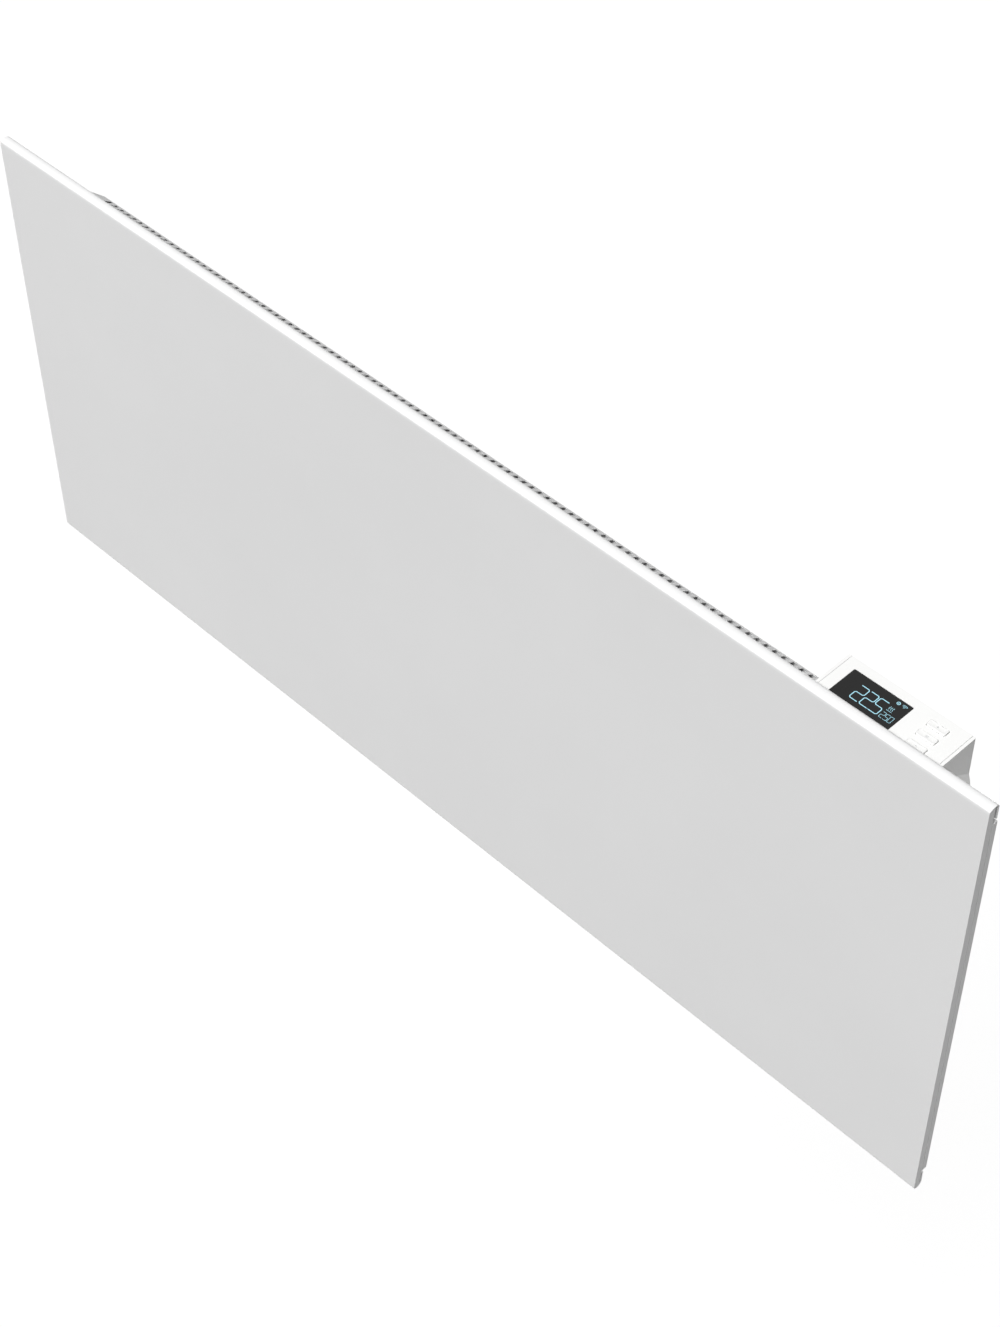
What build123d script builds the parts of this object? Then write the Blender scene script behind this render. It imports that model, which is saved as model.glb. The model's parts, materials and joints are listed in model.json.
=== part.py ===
from build123d import *
import math
import os

# Wall panel convector heater. The wall is the plane Y = 0 and the room is on the -Y side.
# X runs along the panel and Z is up. The origin is the middle of the four wall screws.

# ---------------------------------------------------------------- driving sizes (mm)
OVERALL_DEPTH = 55.0
PANEL_LENGTH = 872.0
FACE_HEIGHT = 362.6
SHEET = 1.0
THIN_SHEET = 0.6

CREST_RISE = 2.85
CREST_DEPTH = 5.0
TOP_ROLL = 8.8
ROLL_RADIUS = 3.2
FACE_BEND = 2.0
BOTTOM_ROLL = 7.5
BOTTOM_OVERHANG = 0.57
LIP_DROP = 9.8
RETURN_DEPTH = 5.4

LINER_DEPTH = 9.8
LINER_INSET = 12.7
RAIL_COUNT = 4
RAIL_WIDTH = 30.0
RAIL_MARGIN = 31.75

CASING_DEPTH = 42.7
CASING_DROP = 38.3
CASING_MARGIN = 56.2
SLOPE_ANGLE = 33.0
END_ANGLE = 45.0
SLOT_PITCH = 6.937
SLOT_WIDTH = 3.4
SLOT_START = 11.05
SLOT_END_GAP = 1.7
SLOT_FRONT_GAP = 6.0
SLOT_RIGHT_GAP = 17.0
RIVET_COUNT = 4
RIVET_MARGIN = 40.0
RIVET_TAIL_RADIUS = 2.2
FLANGE_WIDTH = 12.0
FLANGE_LAP = 1.5

HOUSING_MARGIN = 41.3
HOUSING_WIDTH = 90.4
HOUSING_DROP = 4.6
HOUSING_WALL = 2.0
FRONT_WALL = 1.1
SKIRT_WIDTH = 6.3
SKIRT_CORNER = 10.0
SKIRT_ROOM_GAP = 6.0
SHOULDER_DROP = 34.1
SHOULDER_FALL_BACK = 0.667
SHOULDER_FALL_SIDE = 1.8
LID_THICKNESS = 2.0
SEAM = 0.2
FIT = 0.1

DISPLAY_LENGTH = 42.6
DISPLAY_WIDTH = 24.4
DISPLAY_MARGIN = 9.8
DISPLAY_FRONT = 11.5
GLASS_THICKNESS = 1.2
MODULE_THICKNESS = 3.2

BUTTON_LENGTH = 12.7
BUTTON_WIDTH = 5.0
BUTTON_PITCH = 9.6
BUTTON_MARGIN = 19.4
BUTTON_RISE = 0.8
BUTTON_TRAVEL = 0.5
BUTTON_GAP = 0.35
BUTTON_FLANGE = 1.2
BUTTON_FLANGE_THICKNESS = 0.8
MODULE_MARGIN = 1.0
HOLDER_WALL = 2.0
SWITCH_SIZE = 4.5
SWITCH_HEIGHT = 3.3
PLUNGER_RADIUS = 1.5
PLUNGER_HEIGHT = 0.8
BOARD_THICKNESS = 1.6
CHIP_SIZE = 10.0
CHIP_HEIGHT = 1.4
SCREW_RADIUS = 1.5
HEAD_RADIUS = 2.7
HEAD_HEIGHT = 1.8
SMALL_SCREW_RADIUS = 0.9
SMALL_HEAD_RADIUS = 2.1
SMALL_HEAD_HEIGHT = 1.3
SMALL_SCREW_LENGTH = 4.8

ELEMENT_HEIGHT = -95.0
ELEMENT_DEPTH = 26.0
ELEMENT_MARGIN = 39.0
TUBE_RADIUS = 4.2
FIN_WIDTH = 20.0
FIN_HEIGHT = 36.0
FIN_PITCH = 8.0
SHIELD_DEPTH = 38.5
SHIELD_MARGIN = 21.0
SHIELD_BELOW = 36.0
SHIELD_ABOVE = 72.0
FRONT_SHIELD_DEPTH = 13.0
FRONT_SHIELD_ABOVE = 108.0
FOOT_WIDTH = 6.0
STAND_GAP = 9.6
FIN_END_GAP = 16.0
STAND_RISE = 19.8
COLLAR_RADIUS = 6.1
COLLAR_LENGTH = 6.0
LEAD_RADIUS = 1.2
LEAD_BEND = 12.0

BRACKET_SHEET = 1.5
HOLE_SPAN_X = 400.0
HOLE_SPAN_Z = 180.0
HOLE_RADIUS = 2.75
UPRIGHT_WIDTH = 30.0
ARM_REACH = 8.0
ARM_WIDTH = 24.0
ARM_LIP = 12.0
HANGER_SHEET = 1.2
HANGER_WIDTH = 20.0
HANG_GAP = 0.35
ARM_RISE = 10.0
SPACER_RADIUS = 9.0
SPACER_MARGIN = 27.0
SPACER_RISE = 18.0
SPACER_EDGE = 1.6
UPRIGHT_OVERHANG = 18.0
BAR_WIDTH = 24.0
HOOK_DROP = 9.6

POST_RADIUS = 4.0
POST_MARGIN = 13.2
POST_LOW = 6.4
POST_HIGH = 22.4
POST_GAP = 2.4
POST_SCREW_REACH = 6.0
BOSS_RADIUS = 2.4
SOFT_EDGE = 0.8
CAP_EDGE = 0.25
POWER_STAND = 3.0
POWER_MARGIN = 10.0
POWER_INSET = 8.0
POWER_BELOW = 30.0
POWER_ABOVE = 90.0
POWER_POST_RADIUS = 3.2
POWER_SCREW_REACH = 2.7
RELAY_LENGTH = 16.0
RELAY_HEIGHT = 14.0
CORE_SIZE = 28.0
CORE_HEIGHT = 19.6
CORE_WIDTH = 16.8
CORE_MARGIN = 21.0
COIL_LIFT = 2.8
COIL_HEIGHT = 14.0
CAN_RADIUS = 5.0
CAN_HEIGHT = 16.0
CAN_PITCH = 15.0
TERMINAL_LENGTH = 30.0
TERMINAL_HEIGHT = 16.0
TERMINAL_DEPTH = 10.0
CLAMP_PITCH = 6.0
CLAMP_MARGIN = 4.5
RIBBON_WIDTH = 12.0
RIBBON_THICKNESS = 0.8
PLUG_SIZE = 6.0
PLUG_OVERHANG = 2.0
PLUG_DEPTH = 3.0
ROCKER_HEIGHT = 82.94
FRAME_WIDTH = 12.6
FRAME_LENGTH = 19.4
FRAME_FLANGE = 1.6
FRAME_BODY = 13.0
FRAME_BEZEL = 1.7
FRAME_CORNER = 1.6
WELL_DEPTH = 6.4
BLADE_LENGTH = 6.0
BLADE_WIDTH = 4.8
BLADE_THICKNESS = 0.8
BLADE_OFFSET = 4.85
ROCKER_WIDTH = 9.6
ROCKER_LENGTH = 16.4
ROCKER_GAP = 0.4
ROCKER_TILT = 10.0
ROCKER_TIP = 3.1
ROCKER_VALLEY = 1.8
ROCKER_SIDE = 2.0
ROCKER_KEEL = 3.4
ROCKER_TOP_INSET = 0.6
ROCKER_SIDE_INSET = 1.2
PIVOT_RADIUS = 1.2
GLAND_RADIUS = 6.0
GLAND_OFFSET = 8.0
GLAND_HEXAGON = 9.0
GLAND_HEXAGON_HEIGHT = 6.0
GLAND_THREAD = 8.0
GLAND_NUT_RADIUS = 7.5
GLAND_NUT_DROP = 14.4
GLAND_NUT_HEIGHT = 12.0
GLAND_EDGE = 2.0
LOCKNUT_HEIGHT = 3.2
CABLE_RADIUS = 4.1
SENSOR_RADIUS = 4.5
SENSOR_DROP = 11.0
SENSOR_STEM = 0.8
SENSOR_MARGIN = 26.0
SENSOR_SLIT = 1.6
SENSOR_BEAD = 1.8
PIN_LENGTH = 10.0
CUTOUT_RADIUS = 8.0
CUTOUT_HEIGHT = 6.4
CUTOUT_CAP_RADIUS = 5.6
CUTOUT_CAP_HEIGHT = 10.4
CUTOUT_SPAN = 32.0
CUTOUT_BLADE_WIDTH = 5.0
CUTOUT_BLADE_STAND = 5.6
CUTOUT_MARGIN = 72.0
CUTOUT_RISE = 43.2
GROMMET_RADIUS = 6.0
GROMMET_BORE = 4.7
GROMMET_COLLAR = 1.5
GROMMET_INSIDE = 2.0
GROMMET_OUTSIDE = 4.0
LEAD_PITCH = 3.2
LEAD_GRIP = 8.0

# ---------------------------------------------------------------- sizes that follow
FACE_TOP = FACE_HEIGHT / 2
HALF_LENGTH = PANEL_LENGTH / 2
SLOPE = math.tan(math.radians(SLOPE_ANGLE))
END_SLOPE = math.tan(math.radians(END_ANGLE))
CASING_LEFT = -HALF_LENGTH + CASING_MARGIN
HOUSING_RIGHT = HALF_LENGTH - HOUSING_MARGIN
HOUSING_LEFT = HOUSING_RIGHT - HOUSING_WIDTH
CASING_RIGHT = HOUSING_LEFT - SEAM
SKIRT_RIGHT = HOUSING_RIGHT + SKIRT_WIDTH
REAR_TOP = FACE_TOP - CASING_DROP
FRONT_TOP = REAR_TOP + (CASING_DEPTH - LINER_DEPTH) * SLOPE
HOUSING_TOP = FACE_TOP - HOUSING_DROP
LID_UNDER = HOUSING_TOP - LID_THICKNESS
HOLE_FOR_SCREW = SCREW_RADIUS + FIT

os.makedirs("parts", exist_ok=True)


def at_depth(depth):
    """Y of the plane this far behind the front face."""
    return depth - OVERALL_DEPTH


def facing_plane(depth):
    """Upright plane this far behind the front face, looking into the room."""
    return Plane.XZ.offset(OVERALL_DEPTH - depth)


def block(x_span, y_span, z_span, mode=Mode.ADD):
    """Add or cut a plain block given its ends along X, Y and Z."""
    with BuildSketch(Plane.XY.offset(z_span[0])) as plan:
        with Locations(((x_span[0] + x_span[1]) / 2, (y_span[0] + y_span[1]) / 2)):
            Rectangle(x_span[1] - x_span[0], y_span[1] - y_span[0])
    extrude(plan.sketch, amount=z_span[1] - z_span[0], mode=mode)


def rod(plane, points, radius, length, mode=Mode.ADD):
    """Add or cut round rods of one radius standing on a plane at the given points."""
    with BuildSketch(plane) as ends:
        with Locations(*points):
            Circle(radius)
    extrude(ends.sketch, amount=length, mode=mode)


def around(centre, size):
    """Ends of a span of this size about a centre."""
    return (centre - size / 2, centre + size / 2)


# ================================================================ front panel
face_y = at_depth(0)
crest = FACE_TOP + CREST_RISE
crest_point = (at_depth(CREST_DEPTH), crest)
roll_top = (at_depth(TOP_ROLL - ROLL_RADIUS), crest)
roll_back = (at_depth(TOP_ROLL), crest - ROLL_RADIUS)
bottom_end = -FACE_TOP - BOTTOM_OVERHANG
bottom_middle = (at_depth(BOTTOM_ROLL / 2), bottom_end - BOTTOM_ROLL / 2)
bottom_back = (at_depth(BOTTOM_ROLL), bottom_end)


def panel_outline():
    """Outside of the panel seen from its end, from the bottom lip round the face to the top lip."""
    Line((at_depth(BOTTOM_ROLL), -FACE_TOP + LIP_DROP), bottom_back)
    TangentArc(bottom_back, bottom_middle, tangent=(0, -1))
    TangentArc(bottom_middle, (face_y, bottom_end), tangent=(-1, 0))
    Line((face_y, bottom_end), (face_y, FACE_TOP))
    TangentArc(crest_point, (face_y, FACE_TOP), tangent=(-1, 0))
    Line(crest_point, roll_top)
    TangentArc(roll_top, roll_back, tangent=(1, 0))
    Line(roll_back, (at_depth(TOP_ROLL), FACE_TOP - LIP_DROP))


with BuildPart() as front_panel:
    # Flat face with a flattened roll along the top and a round roll along the bottom.
    with BuildSketch(Plane.YZ.offset(-HALF_LENGTH)):
        with BuildLine():
            panel_outline()
            offset(amount=SHEET, side=Side.RIGHT)
        make_face()
    extrude(amount=PANEL_LENGTH)
    # Side returns folded back from the face, shaped to the two rolls.
    for plane in (Plane.YZ.offset(-HALF_LENGTH), Plane.YZ.offset(HALF_LENGTH - SHEET)):
        with BuildSketch(plane):
            with BuildLine():
                panel_outline()
                Line((at_depth(TOP_ROLL), FACE_TOP - LIP_DROP), (at_depth(BOTTOM_ROLL), -FACE_TOP + LIP_DROP))
            make_face()
            with Locations((at_depth(RETURN_DEPTH / 2), 0)):
                Rectangle(RETURN_DEPTH, 2 * FACE_HEIGHT, mode=Mode.INTERSECT)
        extrude(amount=SHEET)
    bend_edges = front_panel.edges().filter_by(Axis.X).group_by(Axis.Y)[0]
    fillet(bend_edges.sort_by(Axis.Z)[-1], FACE_BEND)
front_panel.part.label = "front_panel"
export_step(front_panel.part, "parts/front_panel.step")

# Hat rails between the face and the liner keep the wide sheet flat.
rail_back = LINER_DEPTH - SHEET
rail_step = (PANEL_LENGTH - 2 * CASING_MARGIN) / RAIL_COUNT
rail_centres = [(index - (RAIL_COUNT - 1) / 2) * rail_step for index in range(RAIL_COUNT)]
rail_z = around(0, FACE_HEIGHT - 2 * RAIL_MARGIN)
rail_quarter = RAIL_WIDTH / 4
with BuildPart() as panel_rails:
    for centre in rail_centres:
        crown_y = (at_depth(SHEET), at_depth(SHEET + THIN_SHEET))
        block(around(centre, 2 * rail_quarter), crown_y, rail_z)
        for side in (-1, 1):
            web = centre + side * (rail_quarter - THIN_SHEET / 2)
            block(around(web, THIN_SHEET), (at_depth(SHEET), at_depth(rail_back)), rail_z)
            foot = centre + side * 1.5 * rail_quarter
            foot_y = (at_depth(rail_back - THIN_SHEET), at_depth(rail_back))
            block(around(foot, rail_quarter), foot_y, rail_z)
panel_rails.part.label = "panel_rails"
export_step(panel_rails.part, "parts/panel_rails.step")

# ================================================================ liner behind the face
casing_length = CASING_RIGHT - CASING_LEFT
casing_middle = (CASING_LEFT + CASING_RIGHT) / 2
housing_middle = (HOUSING_LEFT + HOUSING_RIGHT) / 2
liner_top = FACE_TOP - LINER_INSET
rivet_z = FRONT_TOP - SHEET - FLANGE_WIDTH / 2
rivet_step = (casing_length - 2 * RIVET_MARGIN) / (RIVET_COUNT - 1)
rivet_x = [CASING_LEFT + RIVET_MARGIN + index * rivet_step for index in range(RIVET_COUNT)]
rivet_points = [(x, z) for x in rivet_x for z in (-rivet_z, rivet_z)]
post_x = (HOUSING_LEFT + POST_MARGIN, HOUSING_RIGHT - POST_MARGIN)
post_points = [(x, z) for x in post_x for z in (POST_LOW - REAR_TOP, REAR_TOP - POST_HIGH)]
with BuildPart() as panel_liner:
    # Shallow tray with its rim turned towards the face.
    tray_y = (at_depth(RETURN_DEPTH + SEAM), at_depth(LINER_DEPTH))
    block(around(0, PANEL_LENGTH), tray_y, around(0, 2 * liner_top))
    hollow_y = (at_depth(RETURN_DEPTH + SEAM), at_depth(LINER_DEPTH - SHEET))
    hollow_z = around(0, 2 * (liner_top - SHEET))
    block(around(0, PANEL_LENGTH - 2 * SHEET), hollow_y, hollow_z, Mode.SUBTRACT)
    rod(facing_plane(LINER_DEPTH), rivet_points + post_points, HOLE_FOR_SCREW, SHEET, Mode.SUBTRACT)
panel_liner.part.label = "panel_liner"
export_step(panel_liner.part, "parts/panel_liner.step")

# ================================================================ rear casing
slope_length = (CASING_DEPTH - LINER_DEPTH) / math.cos(math.radians(SLOPE_ANGLE))
slot_length = slope_length - SLOT_END_GAP - SLOT_FRONT_GAP
first_slot = CASING_LEFT + SLOT_START
slot_count = int((CASING_RIGHT - SLOT_RIGHT_GAP - first_slot) / SLOT_PITCH) + 1
slot_x = [first_slot + index * SLOT_PITCH for index in range(slot_count)]
lead_hole_z = ELEMENT_HEIGHT - FIN_HEIGHT / 2 - 2 * GROMMET_RADIUS
lead_centre = (at_depth(ELEMENT_DEPTH), lead_hole_z)
hanger_x = (-HOLE_SPAN_X / 2, HOLE_SPAN_X / 2)
hanger_rivet_z = [row * HOLE_SPAN_Z / 4 for row in (-2, -1, 1, 2)]
hanger_rivet_points = [(x, z) for x in hanger_x for z in hanger_rivet_z]
end_flare = (CASING_DEPTH - LINER_DEPTH) * END_SLOPE
casing_x = (CASING_LEFT - end_flare, CASING_RIGHT)
wall_y = (at_depth(LINER_DEPTH), at_depth(CASING_DEPTH - SHEET))
right_end_x = (CASING_RIGHT - SHEET, CASING_RIGHT)
end_normal = (-math.cos(math.radians(END_ANGLE)), math.sin(math.radians(END_ANGLE)), 0)
end_outside = Plane(origin=(CASING_LEFT, at_depth(CASING_DEPTH), 0), z_dir=end_normal)
end_inside = end_outside.offset(-SHEET)
with BuildPart() as casing_blank:
    # Box with a sloping top, bottom and left end, open at the front.
    with BuildSketch(Plane.YZ.offset(casing_x[0])):
        with BuildLine():
            Polyline(
                (at_depth(LINER_DEPTH), FRONT_TOP),
                (at_depth(CASING_DEPTH), REAR_TOP),
                (at_depth(CASING_DEPTH), -REAR_TOP),
                (at_depth(LINER_DEPTH), -FRONT_TOP),
                close=True,
            )
        make_face()
    extrude(amount=casing_x[1] - casing_x[0])
    split(bisect_by=end_outside, keep=Keep.BOTTOM)
    offset(amount=-SHEET, openings=casing_blank.faces().sort_by(Axis.Y)[0])

with BuildPart() as rear_wall:
    # Flat back of the casing.
    add(casing_blank.part)
    block(casing_x, (wall_y[1], at_depth(CASING_DEPTH)), around(0, 2 * FRONT_TOP), Mode.INTERSECT)
    rod(facing_plane(CASING_DEPTH), hanger_rivet_points, HOLE_FOR_SCREW, SHEET, Mode.SUBTRACT)
rear_wall.part.label = "rear_wall"
export_step(rear_wall.part, "parts/rear_wall.step")

with BuildPart() as left_end:
    add(casing_blank.part)
    block(casing_x, wall_y, around(0, 2 * FRONT_TOP), Mode.INTERSECT)
    split(bisect_by=end_inside, keep=Keep.TOP)
left_end.part.label = "left_end"
export_step(left_end.part, "parts/left_end.step")

with BuildPart() as right_end:
    add(casing_blank.part)
    block(right_end_x, wall_y, around(0, 2 * FRONT_TOP), Mode.INTERSECT)
    rod(Plane.YZ.offset(CASING_RIGHT - SHEET), [lead_centre], GROMMET_RADIUS + FIT, SHEET, Mode.SUBTRACT)
right_end.part.label = "right_end"
export_step(right_end.part, "parts/right_end.step")


def grille(side):
    """Slotted slope along the top (side 1) or the bottom (side -1) with its flange on the liner."""
    add(casing_blank.part)
    block(casing_x, wall_y, sorted((side * (REAR_TOP - 2 * SHEET), side * FRONT_TOP)), Mode.INTERSECT)
    # The flange is turned in to lie on the liner.
    flange_y = (at_depth(LINER_DEPTH), at_depth(LINER_DEPTH + SHEET))
    flange_z = sorted((side * (FRONT_TOP - FLANGE_LAP), side * (FRONT_TOP - FLANGE_WIDTH)))
    block(casing_x, flange_y, flange_z)
    split(bisect_by=end_inside, keep=Keep.BOTTOM)
    block(right_end_x, wall_y, around(0, 2 * FRONT_TOP), Mode.SUBTRACT)
    slope_normal = (0, math.sin(math.radians(SLOPE_ANGLE)), side * math.cos(math.radians(SLOPE_ANGLE)))
    slope_edge = (0, at_depth(CASING_DEPTH), side * REAR_TOP)
    slope_centre = -side * (SLOT_END_GAP + slot_length / 2)
    with BuildSketch(Plane(origin=slope_edge, x_dir=(1, 0, 0), z_dir=slope_normal)) as slots:
        with Locations(*[(x, slope_centre) for x in slot_x]):
            RectangleRounded(SLOT_WIDTH, slot_length, SLOT_WIDTH / 5)
    extrude(slots.sketch, amount=-2 * SHEET, mode=Mode.SUBTRACT)
    side_points = [point for point in rivet_points if point[1] * side > 0]
    rod(facing_plane(LINER_DEPTH + SHEET), side_points, HOLE_FOR_SCREW, SHEET, Mode.SUBTRACT)


with BuildPart() as top_grille:
    grille(1)
top_grille.part.label = "top_grille"
export_step(top_grille.part, "parts/top_grille.step")

with BuildPart() as bottom_grille:
    grille(-1)
bottom_grille.part.label = "bottom_grille"
export_step(bottom_grille.part, "parts/bottom_grille.step")

with BuildPart() as casing_rivets:
    # Domed rivets through the casing flange and the liner.
    rod(facing_plane(LINER_DEPTH + SHEET), rivet_points, SCREW_RADIUS, 2 * SHEET)
    rod(facing_plane(LINER_DEPTH + SHEET + HEAD_HEIGHT), rivet_points, HEAD_RADIUS, HEAD_HEIGHT)
    rod(facing_plane(LINER_DEPTH - SHEET), rivet_points, RIVET_TAIL_RADIUS, SHEET)
casing_rivets.part.label = "casing_rivets"
export_step(casing_rivets.part, "parts/casing_rivets.step")

# ================================================================ control housing
housing_base = -REAR_TOP
front_wall_z = HOUSING_TOP - 2 * HOUSING_WALL - LIP_DROP
shoulder_normal = (SHOULDER_FALL_SIDE, SHOULDER_FALL_BACK, 1)
shoulder_point = (HOUSING_RIGHT, at_depth(CASING_DEPTH), FACE_TOP - SHOULDER_DROP)
shoulder_plane = Plane(origin=shoulder_point, z_dir=shoulder_normal)
skirt_room = FACE_TOP - SHOULDER_DROP - SKIRT_WIDTH * SHOULDER_FALL_SIDE - HOUSING_WALL
rocker_centre = (at_depth(ELEMENT_DEPTH), housing_base + ROCKER_HEIGHT)
gland_x = housing_middle + GLAND_OFFSET
sensor_x = HOUSING_LEFT + SENSOR_MARGIN
board_top = HOUSING_TOP - LID_THICKNESS - BUTTON_GAP - BUTTON_FLANGE_THICKNESS
board_top -= BUTTON_TRAVEL + BUTTON_GAP + PLUNGER_HEIGHT + SWITCH_HEIGHT
power_x = (HOUSING_LEFT + POWER_INSET, HOUSING_RIGHT - POWER_INSET)
power_z = (rocker_centre[1] - POWER_BELOW, rocker_centre[1] + POWER_ABOVE)
power_depth = CASING_DEPTH - HOUSING_WALL - POWER_STAND
power_hole_x = (power_x[0] + POWER_MARGIN / 2, power_x[1] - POWER_MARGIN / 2)
power_hole_z = (power_z[0] + POWER_MARGIN / 2, power_z[1] - POWER_MARGIN / 2)
power_points = [(x, z) for x in power_hole_x for z in power_hole_z]
with BuildPart() as control_housing:
    # Wide skirt with a rounded rear corner, cut by the sloping shoulder.
    skirt_y = (at_depth(LINER_DEPTH), at_depth(CASING_DEPTH))
    block((HOUSING_LEFT, SKIRT_RIGHT), skirt_y, (housing_base, HOUSING_TOP - LIP_DROP))
    rear_corners = control_housing.edges().filter_by(Axis.Z).group_by(Axis.Y)[-1]
    fillet(rear_corners.sort_by(Axis.X)[-1], SKIRT_CORNER)
    split(bisect_by=shoulder_plane, keep=Keep.BOTTOM)
    # Narrow upright head that carries the lid.
    block((HOUSING_LEFT, HOUSING_RIGHT), skirt_y, (housing_base, HOUSING_TOP))
    # Room inside, open towards the liner and at the top.
    room_x = (HOUSING_LEFT + HOUSING_WALL, HOUSING_RIGHT - HOUSING_WALL)
    room_y = (at_depth(LINER_DEPTH), at_depth(CASING_DEPTH - HOUSING_WALL))
    head_y = (at_depth(LINER_DEPTH + FRONT_WALL), at_depth(CASING_DEPTH - HOUSING_WALL))
    block(room_x, room_y, (housing_base + HOUSING_WALL, front_wall_z), Mode.SUBTRACT)
    block(room_x, head_y, (front_wall_z - HOUSING_WALL, HOUSING_TOP), Mode.SUBTRACT)
    side_room_y = (at_depth(LINER_DEPTH), at_depth(CASING_DEPTH - SKIRT_ROOM_GAP))
    side_room_x = (HOUSING_RIGHT - 2 * HOUSING_WALL, SKIRT_RIGHT - HOUSING_WALL)
    block(side_room_x, side_room_y, (housing_base + HOUSING_WALL, skirt_room), Mode.SUBTRACT)
    # Rebate for the lid between the two side rims.
    block(room_x, skirt_y, (LID_UNDER, HOUSING_TOP), Mode.SUBTRACT)
    # Screw posts from the front and short posts for the power board.
    rod(facing_plane(CASING_DEPTH - HOUSING_WALL), post_points, POST_RADIUS, room_y[1] - room_y[0])
    post_bore = facing_plane(LINER_DEPTH + POST_SCREW_REACH)
    rod(post_bore, post_points, SCREW_RADIUS, POST_SCREW_REACH, Mode.SUBTRACT)
    rod(facing_plane(CASING_DEPTH - HOUSING_WALL), power_points, POWER_POST_RADIUS, POWER_STAND)
    rod(facing_plane(power_depth + POWER_STAND), power_points, SCREW_RADIUS, POWER_STAND, Mode.SUBTRACT)
    # Openings for the leads, the rocker frame, the cable gland and the room sensor.
    rod(Plane.YZ.offset(HOUSING_LEFT), [lead_centre], GROMMET_RADIUS + FIT, HOUSING_WALL, Mode.SUBTRACT)
    frame_hole_x = (SKIRT_RIGHT - 2 * HOUSING_WALL, SKIRT_RIGHT)
    frame_hole_y = around(rocker_centre[0], FRAME_WIDTH + 2 * FIT)
    block(frame_hole_x, frame_hole_y, around(rocker_centre[1], FRAME_LENGTH + 2 * FIT), Mode.SUBTRACT)
    base_plane = Plane.XY.offset(housing_base)
    gland_point = (gland_x, at_depth(ELEMENT_DEPTH))
    sensor_point = (sensor_x, at_depth(ELEMENT_DEPTH))
    rod(base_plane, [gland_point], GLAND_RADIUS + FIT, HOUSING_WALL, Mode.SUBTRACT)
    rod(base_plane, [sensor_point], SENSOR_STEM + SEAM, HOUSING_WALL, Mode.SUBTRACT)
    fillet(control_housing.edges().filter_by(Axis.Z).group_by(Axis.Y)[-1].sort_by(Axis.X)[-1], SOFT_EDGE)
control_housing.part.label = "control_housing"
export_step(control_housing.part, "parts/control_housing.step")

with BuildPart() as housing_screws:
    # Pan screws from the liner into the housing posts.
    rod(facing_plane(LINER_DEPTH - SHEET), post_points, HEAD_RADIUS, HEAD_HEIGHT)
    rod(facing_plane(LINER_DEPTH - SHEET + POST_SCREW_REACH), post_points, SCREW_RADIUS, POST_SCREW_REACH)
housing_screws.part.label = "housing_screws"
export_step(housing_screws.part, "parts/housing_screws.step")

# ================================================================ lid and display
display_x = (HOUSING_LEFT + DISPLAY_MARGIN, HOUSING_LEFT + DISPLAY_MARGIN + DISPLAY_LENGTH)
display_y = (at_depth(DISPLAY_FRONT), at_depth(DISPLAY_FRONT + DISPLAY_WIDTH))
display_centre = (sum(display_x) / 2, sum(display_y) / 2)
button_x = HOUSING_RIGHT - BUTTON_MARGIN
button_points = [(button_x, display_centre[1] + step * BUTTON_PITCH) for step in (1, 0, -1)]
boss_x = (HOUSING_LEFT + HOUSING_WALL + BOSS_RADIUS + FIT, HOUSING_RIGHT - HOUSING_WALL - BOSS_RADIUS - FIT)
boss_y = (head_y[0] + BOSS_RADIUS + FIT, head_y[1] - BOSS_RADIUS - FIT)
boss_points = [(x, y) for x in boss_x for y in boss_y]
with BuildPart() as control_lid:
    lid_x = (HOUSING_LEFT + HOUSING_WALL + SEAM, HOUSING_RIGHT - HOUSING_WALL - SEAM)
    block(lid_x, skirt_y, (LID_UNDER, HOUSING_TOP))
    with BuildSketch(Plane.XY.offset(HOUSING_TOP)):
        with Locations(display_centre):
            RectangleRounded(DISPLAY_LENGTH + 2 * FIT, DISPLAY_WIDTH + 2 * FIT, SOFT_EDGE + FIT)
        with Locations(*button_points):
            RectangleRounded(
                BUTTON_LENGTH + 2 * BUTTON_GAP, BUTTON_WIDTH + 2 * BUTTON_GAP, SOFT_EDGE + BUTTON_GAP
            )
    extrude(amount=-LID_THICKNESS, mode=Mode.SUBTRACT)
    # Bosses that hold the control board.
    rod(Plane.XY.offset(board_top), boss_points, BOSS_RADIUS, LID_UNDER - board_top)
    rod(Plane.XY.offset(board_top), boss_points, SMALL_SCREW_RADIUS, LID_UNDER - board_top, Mode.SUBTRACT)
control_lid.part.label = "control_lid"
export_step(control_lid.part, "parts/control_lid.step")

with BuildPart() as display_glass:
    with BuildSketch(Plane.XY.offset(HOUSING_TOP - GLASS_THICKNESS - FIT)):
        with Locations(display_centre):
            RectangleRounded(DISPLAY_LENGTH, DISPLAY_WIDTH, SOFT_EDGE)
    extrude(amount=GLASS_THICKNESS)
display_glass.part.label = "display_glass"
export_step(display_glass.part, "parts/display_glass.step")

glass_under = HOUSING_TOP - GLASS_THICKNESS - FIT
module_under = glass_under - MODULE_THICKNESS
module_x = around(display_centre[0], DISPLAY_LENGTH - 2 * MODULE_MARGIN)
module_y = around(display_centre[1], DISPLAY_WIDTH - 2 * MODULE_MARGIN)
with BuildPart() as display_module:
    block(module_x, module_y, (module_under, glass_under))
display_module.part.label = "display_module"
export_step(display_module.part, "parts/display_module.step")

with BuildPart() as display_holder:
    # Open frame that carries the display above the board.
    block(module_x, module_y, (board_top, module_under))
    window_x = (module_x[0] + HOLDER_WALL, module_x[1] - HOLDER_WALL)
    window_y = (module_y[0] + HOLDER_WALL, module_y[1] - HOLDER_WALL)
    block(window_x, window_y, (board_top, module_under), Mode.SUBTRACT)
display_holder.part.label = "display_holder"
export_step(display_holder.part, "parts/display_holder.step")

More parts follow.
